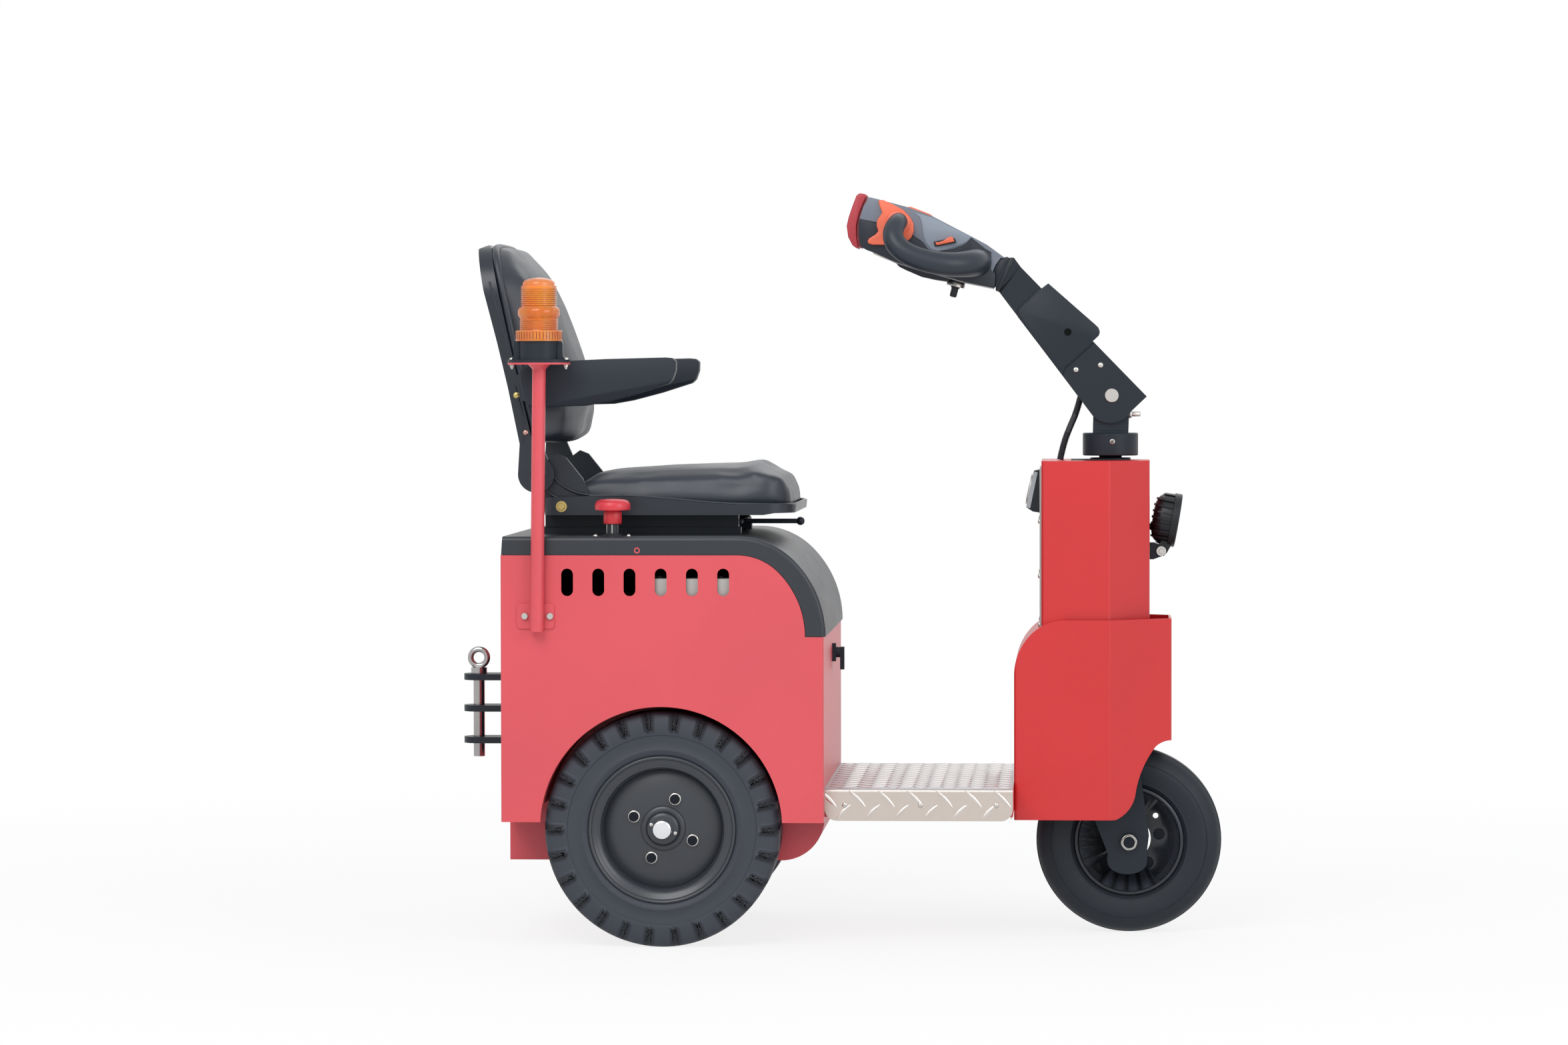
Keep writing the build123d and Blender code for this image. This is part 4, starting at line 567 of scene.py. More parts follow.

# Front wheel: the tyre. The six dark bolts in the pressed disc and the axle's nut outside the fork follow with the rim
FRONT_AXLE = (763.8, 0, 155)
FRONT_TREAD = [
    (8, 77), (33.5, 84), (34, 90), (38.5, 91), (41, 94), (42.6, 97), (43.4, 97.6), (43.2, 99), (44.6, 103), (46.2, 112),
    (46.9, 120), (47, 127.5), (46.3, 129.2), (45.6, 130), (46.2, 130.8), (45.6, 132), (43.6, 135.2), (40.2, 140.8),
    (36.2, 146.4), (29.2, 150.8), (24, 153), (23.4, 150.6), (20.6, 151), (20, 154.4), (10, 155), (9.4, 152),
    (6.6, 152), (6, 155), (0, 155),
]
front_rows = FRONT_TREAD + [(-across, out) for across, out in FRONT_TREAD[-2::-1]]
settle(turned(front_rows, FRONT_AXLE, steps=120), "front_tyre_moulded", "front_wheel", front_rubber,
       ["front_tyre"])


# Seat, backrest and armrests
def from_node(name):
    """A merged copy of a CAD solid's mesh, in the drawing's millimetres."""
    shape = bmesh.new()
    shape.from_mesh(frame["nodes"][name].data)
    back = Matrix.Scale(1 / MM, 4) @ Matrix.Translation(-AXLE_TO_PART)
    bmesh.ops.transform(shape, matrix=back, verts=shape.verts)
    bmesh.ops.remove_doubles(shape, verts=shape.verts, dist=0.01)
    return shape


def as_object(shape):
    """A passing object in metres, for a modifier to work on."""
    bmesh.ops.scale(shape, vec=(MM, MM, MM), verts=shape.verts)
    mesh = bpy.data.meshes.new("passing")
    shape.to_mesh(mesh)
    shape.free()
    passing = bpy.data.objects.new("passing", mesh)
    bpy.context.collection.objects.link(passing)
    return passing


def worked(passing, keep=False):
    """The object's mesh with its modifiers worked in, as a shape in millimetres."""
    seen = passing.evaluated_get(bpy.context.evaluated_depsgraph_get())
    mesh = bpy.data.meshes.new_from_object(seen)
    shape = bmesh.new()
    shape.from_mesh(mesh)
    bpy.data.meshes.remove(mesh)
    if not keep:
        bpy.data.objects.remove(passing)
    bmesh.ops.scale(shape, vec=(1 / MM, 1 / MM, 1 / MM), verts=shape.verts)
    return shape


def remeshed(shape, voxel):
    passing = as_object(shape)
    grid = passing.modifiers.new("grid", "REMESH")
    grid.mode = "VOXEL"
    grid.voxel_size = voxel * MM
    return worked(passing)


def stuffed(shape, pressure, cap, rests):
    """Blows a closed skin up under pressure. What rests on something is held, and no point moves past the cap."""
    held = [vertex.index for vertex in shape.verts if rests(vertex.co)]
    before = [vertex.co.copy() for vertex in shape.verts]
    passing = as_object(shape)
    group = passing.vertex_groups.new(name="held")
    group.add(held, 1.0, "REPLACE")
    skin = passing.modifiers.new("skin", "CLOTH")
    skin.settings.vertex_group_mass = "held"
    skin.settings.use_pressure = True
    skin.settings.uniform_pressure_force = pressure
    skin.settings.effector_weights.gravity = 0
    skin.settings.quality = 6
    skin.settings.bending_stiffness = 2.0
    skin.point_cache.frame_start = 1
    skin.point_cache.frame_end = 20
    scene = bpy.context.scene
    for moment in range(1, 21):
        scene.frame_set(moment)
    blown = worked(passing)
    scene.frame_set(1)
    blown.verts.ensure_lookup_table()
    moves = [vertex.co - start for vertex, start in zip(blown.verts, before)]
    around = [[edge.other_vert(vertex).index for edge in vertex.link_edges] for vertex in blown.verts]
    for _ in range(24):
        moves = [
            (move + sum((moves[other] for other in others), Vector())) / (1 + len(others))
            for move, others in zip(moves, around)
        ]
    for vertex, start, move in zip(blown.verts, before, moves):
        vertex.co = start + (move.normalized() * cap if move.length > cap else move)
    return blown


def finer(shape):
    """One step of subdivision, worked in."""
    passing = as_object(shape)
    step = passing.modifiers.new("step", "SUBSURF")
    step.levels = step.render_levels = 1
    return worked(passing)


def shares(value, low, high):
    return min(max((value - low) / (high - low), 0.0), 1.0)


def seat_form(place):
    """The seat's crown: lower towards its sides and rear, with the roll along its front edge."""
    side = abs(place.y) / 191
    top = shares(place.z, 735, 775)
    place.z -= top * (7 * side ** 3 + 4 * shares(place.x, 80, 120) * side ** 2)
    place.z -= top * 7 * shares(-place.x, 60, 118) ** 2
    place.x -= 40 * shares(-place.x, 20, 118) ** 1.5
    tuck = 1 - 0.02 * (1 - shares(place.z, 715, 745)) - 0.012 * top
    place.y *= tuck


def line_at(points, height):
    """How far along a line is at a height. The points run (along, height), downwards."""
    for (x0, z0), (x1, z1) in zip(points, points[1:]):
        if height >= z1:
            return x0 + (x1 - x0) * (z0 - height) / (z0 - z1) if height <= z0 else x0
    return points[-1][0]


BACK_FRONT = [(-256, 1149), (-223, 1101), (-198, 1048), (-166, 962), (-143, 876), (-146, 836), (-165, 826)]
BACK_REAR = [(-290, 1149), (-239.7, 915), (-218.6, 826)]


def back_form(place):
    """The backrest's crown: its front falls away to both sides, least near the top."""
    side = shares(abs(place.y), 50, 185)
    front, rear = line_at(BACK_FRONT, place.z), line_at(BACK_REAR, place.z)
    depth = max(front - rear, 20)
    share = shares(place.x, rear, front)
    fall = (16 + 10 * shares(-place.z, -1000, -860)) * side ** 1.8
    place.x -= share * min(fall, depth * 0.6)
    place.y *= 1 + 0.12 * side ** 2 * (1 - share)
    place.z -= 7 * side ** 2 * shares(place.z, 1080, 1152)


def pad(name, node, body, form, pressure, cap, rests, passes=4, voxel=6.0):
    shape = remeshed(from_node(node), voxel)
    for _ in range(passes):
        bmesh.ops.smooth_vert(shape, verts=shape.verts, factor=0.5, use_axis_x=True, use_axis_y=True, use_axis_z=True)
    for vertex in shape.verts:
        form(vertex.co)
    shape = finer(stuffed(shape, pressure, cap, rests))
    piece = settle(shape, name, body, vinyl, [node], smooth=180)
    return piece


pad("seat_pad", "seat_cushion", "seat", seat_form, 3.0, 7.0, lambda place: place.z < 722, 6)
pad("backrest_pad", "backrest_cushion", "backrest", back_form, 3.0, 8.0,
    lambda place: place.x < line_at(BACK_REAR, place.z) + 9, 6)

# Piping where the backrest's cover meets its shell, and the bead round the seat pan's rim
half_piping = [
    (-214, -203, 834), (-225, -205, 876), (-234.5, -206, 915), (-256, -206, 1015), (-271.5, -204.5, 1086),
    (-279, -194, 1118), (-284, -176, 1138), (-286, -140, 1147), (-286, -80, 1149),
]
piping = half_piping + [(x, -y, z) for x, y, z in half_piping[::-1]]
settle(tube(piping, 6.5), "backrest_piping", "backrest", vinyl)
half_rim = [
    (-124, -213.4, 736.6), (-69, -213.6, 738.8), (10, -213.6, 732.2), (90, -213.6, 723.8), (150, -213.4, 723.2),
    (196, -204, 722.6), (212.6, -160, 722.2), (212.8, -80, 722.2),
]
rim_bead = half_rim + [(x, -y, z) for x, y, z in half_rim[::-1]]
settle(tube(rim_bead, 1.8), "seat_rim_bead", "seat", seat_plastic)

ARM_OUTLINE = [
    (-233, 942), (-231, 947.5), (-226, 949.8), (-148.8, 959.4), (-91.6, 962), (5.9, 964.4), (17, 963.4), (23, 958.2),
    (22.6, 943.1), (17.5, 928.1), (10.8, 921.4), (-41.3, 904.7), (-91.8, 891.4), (-125.4, 885.5), (-192.8, 883.6),
    (-217, 886.5), (-225.4, 896.6), (-232, 926.8),
]
for side, out in SIDES:
    arm = plate(ARM_OUTLINE, 240.4 * out, 36.6 * out)
    slope = Vector((151.3, 28.3)).normalized()
    bmesh.ops.bisect_plane(
        arm, geom=arm.verts[:] + arm.edges[:] + arm.faces[:], plane_co=(9.1, 0, 925.4), plane_no=(-slope.y, 0, slope.x)
    )
    for corner in arm.verts:
        below = (corner.co.x - 9.1) * slope.y - (corner.co.z - 925.4) * slope.x
        if below > 0.5:
            corner.co.y += (8.5 if abs(corner.co.y) < 250 else -8.5) * out * min(below / 11, 1)
    bmesh.ops.recalc_face_normals(arm, faces=arm.faces)
    rounded(arm, 6.0, 4, 18)
    arm = joined(arm, rod((-208, 206 * out, 915), (-208, 241 * out, 915), 7.9))
    piece = settle(arm, f"armrest_{side}_moulded", f"armrest_{side}", armrest_foam, [f"armrest_{side}"])


# Tiller head: a dark lower body and a grey upper shell that narrow towards the neck
HEAD_WIDTHS = [(300, 46), (330, 51.6), (420, 51.6), (500, 42), (570, 30)]


def across(points, along):
    """The value at a place along a line of (place, value) pairs."""
    for (x0, y0), (x1, y1) in zip(points, points[1:]):
        if along <= x1:
            return y0 + (y1 - y0) * max(along - x0, 0) / (x1 - x0)
    return points[-1][1]


def head_slab(outline, proud=0.0, share=1.0):
    """A slab right through the head, as wide as the head is at each place."""
    shape = plate(outline, -1, 2)
    for place, _ in HEAD_WIDTHS[1:-1]:
        bmesh.ops.bisect_plane(shape, geom=shape.verts[:] + shape.edges[:] + shape.faces[:], plane_co=(place, 0, 0),
                               plane_no=(1, 0, 0))
    for vertex in shape.verts:
        half = across(HEAD_WIDTHS, vertex.co.x) * share + proud
        vertex.co.y = half if vertex.co.y > 0 else -half
    bmesh.ops.recalc_face_normals(shape, faces=shape.faces)
    return shape


HEAD_DARK = [
    (313.9, 1196.1), (340.9, 1190.5), (404, 1168), (419.8, 1156.8), (428.1, 1145.7), (440.2, 1140.1), (470.8, 1145.6),
    (485.6, 1151.1), (493, 1155.7), (500.5, 1164), (524.5, 1144.5), (533.8, 1139.8), (533.4, 1112), (541, 1104),
    (540, 1084.2), (537.5, 1080.5), (491.1, 1089.9), (461.5, 1098.3), (409.5, 1112.4), (372.4, 1124.5),
    (357.5, 1131.1), (337.1, 1140.4), (322.2, 1146), (314.8, 1151.6), (312, 1170.1), (312.1, 1188.7),
]
HEAD_GREY = [
    (313.9, 1196.3), (320.4, 1216.5), (329.8, 1231.3), (331.6, 1232.2), (346.5, 1228.4), (394.7, 1215.3),
    (437.4, 1199.4), (500.5, 1166.5), (526.4, 1152.8), (557, 1130.4), (549.6, 1130.5), (541.2, 1119.4),
    (535.7, 1107), (532.9, 1112), (533.8, 1140), (524.5, 1144.7), (500.5, 1164.2), (493, 1155.9), (485.6, 1151.3),
    (470.8, 1145.8), (440.2, 1140.3), (428.1, 1145.9), (419.8, 1157), (404, 1168.2), (340.9, 1190.7),
]
HEAD_LOBE = [
    (404, 1207), (414.5, 1198.6), (418.8, 1186.4), (420.6, 1169.7), (424.6, 1156.7), (433.8, 1145.9), (444.8, 1142.2),
    (457.6, 1144.4), (476, 1149.9), (492.4, 1157.6), (500.7, 1165.2), (470, 1181), (437.4, 1197.4),
]
settle(rounded(head_slab(HEAD_DARK), 4.5, 3, 20), "tiller_head_lower", "mast", tiller_plastic,
       ["tiller_head"])
settle(rounded(head_slab(HEAD_GREY, 0.6), 4.0, 3, 20), "tiller_head_upper", "mast", tiller_grey)
settle(rounded(head_slab(HEAD_LOBE, 1.6), 1.4, 2, 20), "tiller_head_lobes", "mast", tiller_light)
belly = plate([(371.6, 1125.5), (379, 1116.6), (390.2, 1111), (416.2, 1099.8), (440, 1094.5), (460.9, 1091.3),
               (468, 1098.5), (430, 1110), (400, 1118)], -30, 60)
settle(rounded(belly, 5.0, 3), "tiller_belly", "mast", tiller_plastic)
sole = head_slab([(337, 1140.2), (372.4, 1124.3), (409.5, 1112.2), (461.5, 1098.1), (491.1, 1089.7), (537.5, 1080.3),
                  (537.2, 1079.1), (491, 1088.4), (461.3, 1096.9), (409.2, 1110.9), (372.1, 1123.1), (336.6, 1139.2)],
                 share=0.9)
settle(sole, "tiller_sole_plate", "mast", chequer_plate)
neck_plug = plate([(535.5, 1108), (541.2, 1119.4), (549.6, 1130.4), (560, 1132.6), (572, 1127.6), (582, 1114.2),
                   (549, 1071.8), (541.8, 1077), (540.2, 1084), (541, 1104)], -31, 62)
settle(rounded(neck_plug, 1.2, 2), "tiller_neck_plug", "mast", tiller_plastic)
battery_tag = plate([(334.7, 1138.6), (358.9, 1128.3), (360.8, 1136.9), (338.5, 1146.2)], -26, 52)
settle(rounded(battery_tag, 0.8, 2), "tiller_key_plate", "mast", bright_zinc)
strip = plate([(393.7, 1215.2), (434.6, 1199.4), (435.3, 1201.6), (431, 1204.6), (399.5, 1216.9), (394.5, 1217.3)],
              -21, 42)
settle(rounded(strip, 1.0, 2), "tiller_display_frame", "mast", orange_plastic)

WING_OUTLINE = [
    (345.8, 1225.4), (348, 1227.2), (354.1, 1227.3), (371, 1219.5), (387.5, 1210.5), (398.6, 1199.4), (404.2, 1188.2),
    (405.1, 1175.3), (400.5, 1164.2), (393, 1157.7), (376, 1154.4), (357.8, 1152.2), (335, 1152.6), (328.9, 1155),
    (327.7, 1158.8), (330, 1163), (341.1, 1169.9), (345.7, 1175.4), (342.6, 1184.7), (343.9, 1194), (352.3, 1206),
    (347.6, 1217.1),
]
GRIP_LINE = [
    (380, 58, 1191), (379, 84, 1190), (371, 104, 1177), (372, 115, 1155), (394, 119, 1135), (428, 118, 1123),
    (465, 112, 1117), (496, 92, 1119), (508, 68, 1122), (511, 40, 1123),
]
GRIP_SIZES = [0.82, 0.84, 0.9, 0.97, 1.0, 1.03, 1.1, 1.18, 1.26, 1.28]
ROCKER = [(440.2, 1156.7), (447, 1156.6), (455, 1159.6), (461, 1163.6), (465.3, 1165.5), (469.9, 1165), (472.7, 1157.5),
          (443, 1151.2)]
ROCKER_WELL = [(437.6, 1157.4), (440.4, 1148.8), (475.6, 1156), (473.6, 1162.4), (470.6, 1164)]
wings, grips, rockers, wells = [], [], [], []
for side, out in SIDES:
    wing = plate(WING_OUTLINE, 50 * out, 10 * out)
    wings.append(rounded(wing, 2.4, 3, 15, keep=lambda middle: abs(middle.y) > 59))
    wings.append(turned([(50, 0), (50, 21), (60.5, 21), (63.5, 20), (65, 17), (65.4, 12), (65.4, 0)], (379, 0, 1189),
                        (0, out, 0), 40))
    grips.append(tube([(x, y * out, z) for x, y, z in GRIP_LINE], 18.5, GRIP_SIZES, around=7, along=10))
    wells.append(plate(ROCKER_WELL, 47 * out, 5.2 * out))
    rockers.append(rounded(plate(ROCKER, 46 * out, 11 * out), 1.2, 3))
settle(joined(*wings), "throttle_wings_moulded", "mast", orange_plastic, ["throttle_wings"])
settle(joined(*grips), "tiller_grips_moulded", "mast", grip_plastic, ["tiller_grips"], smooth=60)
settle(joined(*wells), "tiller_rocker_wells", "mast", black_plastic)
settle(joined(*rockers), "tiller_rockers", "mast", orange_plastic)

PAD_CAP = [
    (326.6, 1235.7), (322, 1238), (314, 1239.4), (308.5, 1235.7), (301.8, 1218), (295.4, 1199.4), (292, 1184.6),
    (294.5, 1166), (301.8, 1152), (309, 1146.8), (311.9, 1148.3), (308.4, 1166), (308.2, 1184.6), (312.8, 1205),
    (322, 1227.3),
]
PAD_BASE = [
    (321, 1227.3), (331, 1228.8), (322, 1212.5), (316, 1193.9), (314, 1175.3), (315.6, 1156.7), (316.8, 1147.8),
    (310, 1150), (306.4, 1166), (306.2, 1184.6), (310.8, 1205),
]
settle(rounded(plate(PAD_CAP, -44, 88), 3.2, 3, 25), "belly_pad_cap", "mast", red_plastic, ["tiller_pad"])
settle(rounded(plate(PAD_BASE, -39, 78), 1.0, 2, 25), "belly_pad_base", "mast", dark_red_plastic)

button_axis = Vector((-0.25, 0, -1)).normalized()
button_root = (475.5, 0, 1093.5)
settle(turned([(-2, 0), (-2, 14.6), (5.5, 14.6), (6, 14), (6, 0)], button_root, button_axis, 48), "tiller_button_body",
       "mast", black_plastic, ["tiller_button"])
settle(turned([(4.6, 13), (4.6, 15.2), (5.4, 15.6), (10, 15.6), (10.6, 15), (10.6, 8)], button_root, button_axis, 48),
       "tiller_button_ring", "mast", bright_zinc)
settle(turned([(8, 0), (8, 7.4), (13, 7.4), (13.6, 6), (26.5, 6), (28, 5), (28.6, 3.4), (28.6, 0)], button_root,
              button_axis, 40), "tiller_button_stem", "mast", black_plastic)
tie = plate([(566.5, 1132.4), (572.1, 1128.7), (547.8, 1073.6), (541.5, 1076.4)], -35.8, 71.6)
settle(rounded(tie, 1.6, 2), "tiller_neck_tie", "mast", black_plastic)


# Beacon: a ribbed amber lens round its post and reflectors, on the base's screws
BEACON_FOOT = Vector((-196, -324, 991))
lens_rows = [(0.2, 0), (0.2, 38.2), (16.6, 38.2), (17.4, 37.4), (17.4, 31.2)]
rib = 19.0
while rib < 36.0:
    lens_rows += [(rib, 30.6), (rib + 1.2, 31.6), (rib + 2.1, 31.6)]
    rib += 3.3
lens_rows += [(37.4, 30.8), (40, 33.4), (44, 34.5), (49, 34.5), (53, 33.2), (56, 29.6)]
rib = 57.5
while rib < 88.0:
    lens_rows += [(rib, 28.4), (rib + 1.2, 29.5), (rib + 2.1, 29.5)]
    rib += 3.3
lens_rows += [(89.6, 28.8), (90.4, 26.4), (94.6, 26.2), (97, 25), (99.6, 21), (101.6, 15), (103, 7.5), (103.5, 0)]
settle(turned(lens_rows, BEACON_FOOT, UP, 72), "beacon_lens_ribbed", "root", amber, ["beacon_lens"])
core = turned([(58, 0), (58, 24), (87, 24), (90, 20), (90, 0)], BEACON_FOOT, UP, 40)
settle(core, "beacon_upper_core", "root", amber_core)
post = turned([(3, 0), (3, 9.5), (57, 9.5), (57, 0)], BEACON_FOOT, UP, 32)
settle(post, "beacon_post", "root", amber_pale)
reflectors, knurl_shade_strips, rib_shade_rings = [], [], []
for turn_at in (-38, 38, 142, 218):
    aim = Vector((sin(radians(turn_at)), -cos(radians(turn_at)), 0))
    reflectors.append(placed(turned([(0, 0), (0, 10.5), (1.5, 11.5), (1.5, 0)], axis=UP, steps=20),
                             BEACON_FOOT + aim * 20 + Vector((0, 0, 47)), aim + Vector((0, 0, -0.35))))
# Painted shade: thin dark strips on the lens's foot ring stand in for the shade in its knurled grooves.
for tooth in range(44):
    angle = 2 * pi * tooth / 44
    aim = Vector((cos(angle), sin(angle), 0))
    knurl_shade_strips.append(placed(block((-0.5, -6, 0), (0.5, 6, 0.5)), BEACON_FOOT + aim * 37.9 + Vector((0, 0, 8.6)), aim))
# Painted shade: thin dark rings in the valleys between the lens's ribs stand in for the shade there.
for level in [19.7 + 3.3 * step for step in range(5)] + [58.2 + 3.3 * step for step in range(9)]:
    out = 30.3 if level < 50 else 28.1
    rib_shade_rings.append(turned([(level - 0.9, out - 1), (level - 0.9, out + 0.55), (level - 0.3, out + 0.55), (level - 0.3, out - 1)],
                        BEACON_FOOT, UP, 48))
settle(joined(*rib_shade_rings), "beacon_rib_shade_lines", "root", amber_dark)
settle(joined(*reflectors), "beacon_reflectors", "root", amber_dark)
settle(joined(*knurl_shade_strips), "beacon_ring_knurl_shade", "root", amber_dark)
screws, nuts = [], []
for along in (-44, 44):
    spot = BEACON_FOOT + Vector((along, 0, 0))
    screws.append(placed(cross_head(4.4, 3.4), (spot.x, spot.y, 961)))
    nuts.append(placed(hex_head(3.8, 3.6, 1.35), (spot.x, spot.y, 953), (0, 0, -1)))
    nuts.append(rod((spot.x, spot.y, 950), (spot.x, spot.y, 945.6), 1.9, segments=12))
settle(joined(*screws, *nuts), "beacon_screws", "root", bright_zinc)


# Front wheel's rim: a flared well with a rolled lip, sunk socket bolts, and nuts outside the fork's legs
hub = Vector(FRONT_AXLE)
front_rim = from_node("front_rim")
for corner in front_rim.verts:
    away = corner.co - hub
    out_from_axis = hypot(away.x, away.z)
    if abs(away.y) > 37 and out_from_axis < 75:
        flare = 83.5 / out_from_axis
        corner.co = hub + Vector((away.x * flare, away.y, away.z * flare))
lips, bolts, nuts, ends = [], [], [], []
for _, out in SIDES:
    lips.append(turned([(36, 83.3), (40.6, 84), (42, 86), (42.2, 88.4), (41, 90.4), (38.4, 91), (36, 91)],
                       FRONT_AXLE, (0, out, 0), 96))
    for sixth in range(6):
        angle = radians(9 + 60 * sixth)
        seat = hub + Vector((51.3 * cos(angle), 0, 51.3 * sin(angle)))
        bolts.append(placed(socket_head(9.7, 3.0, 0.5, 0.7), seat, (0, out, 0)))
    nuts.append(placed(hex_head(13.2, 2.6, 1.0, 0.6), hub + Vector((0, 75 * out, 0)), (0, out, 0), 12))
    ends.append(placed(turned([(0, 0), (0, 9.8), (1.6, 9.8), (2.4, 9), (2.4, 0)], axis=UP, steps=32),
                       hub + Vector((0, 77.6 * out, 0)), (0, out, 0)))
settle(joined(front_rim, *lips), "front_rim_pressed", "front_wheel", rim_gloss, ["front_rim"], smooth=28)
settle(joined(*bolts), "front_bolts", "front_wheel", bolt_black)
settle(joined(*nuts), "front_axle_nuts", "steering", bright_zinc)
settle(joined(*ends), "front_axle_ends", "steering", bolt_black)
fork = from_node("front_fork")
for corner in fork.verts:
    if corner.co.z < 115:
        corner.co.z += (115 - corner.co.z) * 0.36
settle(fork, "front_fork_forged", "steering", black_paint, ["front_fork"], smooth=28)


# Footplate: raised lenses in two slanted rows that cross, and the screws along its lips
def tread_lens(length=37.0, width=6.6, height=0.9):
    """One raised mark of the plate, pointed at both ends and rounded over."""
    shares_of_half = [(-1, 0), (-0.55, -0.72), (0, -1), (0.55, -0.72), (1, 0), (0.55, 0.72), (0, 1), (-0.55, 0.72)]
    mark = slab([(length / 2 * x, width / 2 * y, 0) for x, y in shares_of_half], (0, 0, height))
    for corner in mark.verts:
        if corner.co.z > height / 2:
            corner.co.x *= 0.86
            corner.co.y *= 0.45
    return mark


marks = []
for row in range(12):
    for step in range(7):
        x, y = 283 + 46 * step, -253 + 46 * row
        marks.append(placed(tread_lens(), (x, y, 259.9), UP, -45))
        if step < 6 and row < 11:
            marks.append(placed(tread_lens(), (x + 23, y + 23, 259.9), UP, 45))
for _, out in SIDES:
    for step in range(7):
        x = 271.5 + 47.4 * step
        marks.append(placed(tread_lens(41, 7.4), (x, 277.4 * out, 243.4), (0, out, 0), 45 * out))
        marks.append(placed(tread_lens(35, 7.4), (x + 25, 277.4 * out, 222), (0, out, 0), -45 * out))
for mark in marks:
    for place, facing in (((266.6, 0, 0), (-1, 0, 0)), ((571.6, 0, 0), (1, 0, 0)), ((0, 0, 208), (0, 0, -1))):
        bmesh.ops.bisect_plane(mark, geom=mark.verts[:] + mark.edges[:] + mark.faces[:], plane_co=place,
                               plane_no=facing, clear_outer=True)
settle(joined(*marks), "footplate_tread", "root", pale_mark_steel)
lip_screws = []
for _, out in SIDES:
    for x in (298.5, 422.4, 545.6):
        lip_screws.append(placed(cross_head(4.2, 2.4), (x, 277.4 * out, 233), (0, out, 0), 20))
settle(joined(*lip_screws), "footplate_screws", "root", bright_zinc)

# Work lamp: pivot bolts through its ears, and a dished reflector under a ribbed glass
pivots = [placed(hex_head(4.6, 4.0, 1.75, 1.4), (818, 18 * out, 639.3), (0, out, 0), 15) for _, out in SIDES]
settle(joined(*pivots), "headlamp_pivots", "root", bright_zinc)
LAMP_FACE = Vector((844.6, 0, 690))
lamp_out = Vector((cos(radians(9.8)), 0, -sin(radians(9.8))))
dish = turned([(-1.9, 0), (-1.9, 9), (-1.2, 20), (0.4, 36), (1.2, 40.6), (-1.9, 40.6)], LAMP_FACE, lamp_out, 64)
settle(dish, "headlamp_reflector", "root", chrome)
bezel = turned([(-1, 40.4), (1.6, 40.8), (2.4, 42), (2.2, 43.6), (1, 45), (-1, 45)], LAMP_FACE, lamp_out, 64)
settle(bezel, "headlamp_bezel", "root", lamp_black)
bowl = turned([(-10.5, 0), (-10.5, 41.6), (-26, 41.1), (-30, 39.6), (-33.4, 37.4), (-36.2, 34), (-38, 30.4),
               (-39.6, 25.4), (-40.6, 19.6), (-41.2, 0)], LAMP_FACE, lamp_out, 64)
settle(bowl, "headlamp_bowl", "root", lamp_black)
leds = []
for ring, (count, away) in enumerate(((1, 0), (6, 15), (10, 29))):
    for led in range(count):
        angle = 2 * pi * led / count
        side_way, up_way = Vector((0, 1, 0)), lamp_out.cross(Vector((0, 1, 0)))
        spot = LAMP_FACE + side_way * (away * cos(angle)) + up_way * (away * sin(angle)) - lamp_out * 1.6
        leds.append(placed(turned([(0, 0), (0, 5.2), (0.9, 5.2), (1.5, 3.2), (2.4, 2.6), (2.6, 0)], axis=UP, steps=16),
                           spot, lamp_out))
settle(joined(*leds), "headlamp_diodes", "root", lamp_diode)
settle(turned([(0.6, 40.4), (1.6, 40.4), (2.6, 30), (3.2, 15), (3.4, 0), (2.2, 0), (1.8, 20), (0.6, 40.4)], LAMP_FACE,
              lamp_out, 64), "headlamp_glass", "root", clear_cover)

# Mast: cover screws, the tilt pin's heads, weld beads round the sleeve, and the stop screw's nut
mast_screws, pin_heads, beads, holes = [], [], [], []
for _, out in SIDES:
    for x, z in ((675.1, 943.3), (716.1, 950.9)):
        mast_screws.append(placed(cross_head(4.7, 2.6), (x, 39.9 * out, z), (0, out, 0), 30))
    pin_heads.append(placed(turned([(0, 0), (0, 11.5), (1.4, 11.5), (2, 10.8), (2, 0)], axis=UP, steps=40),
                            (734.9, 40.1 * out, 900.2), (0, out, 0)))
    holes.append(placed(turned([(0, 0), (0, 6.2), (0.35, 5.9), (0.2, 5), (0.15, 0)], axis=UP, steps=32),
                        (661.7, 44 * out, 1006.3), (0, out, 0)))
    for line in (
        [(579.4, 1042.6), (588, 1051), (597, 1059.4), (607, 1069.4), (616.6, 1078.6)],
        [(703.6, 990.6), (692, 980), (680, 969), (668, 958), (658.6, 949.4)],
    ):
        knobs = [1.0, 1.25, 0.95, 1.2, 0.9]
        beads.append(tube([(x, 40.8 * out, z) for x, z in line], 2.3, knobs))
    beads.append(tube([(705, 33.2 * out, 838.6), (720, 33.8 * out, 838.4), (738, 33.2 * out, 838.7),
                       (761, 33.4 * out, 838.4)], 2.4, [0.9, 1.2, 1.0, 1.1]))
settle(joined(*mast_screws), "mast_screws", "mast", bright_zinc)
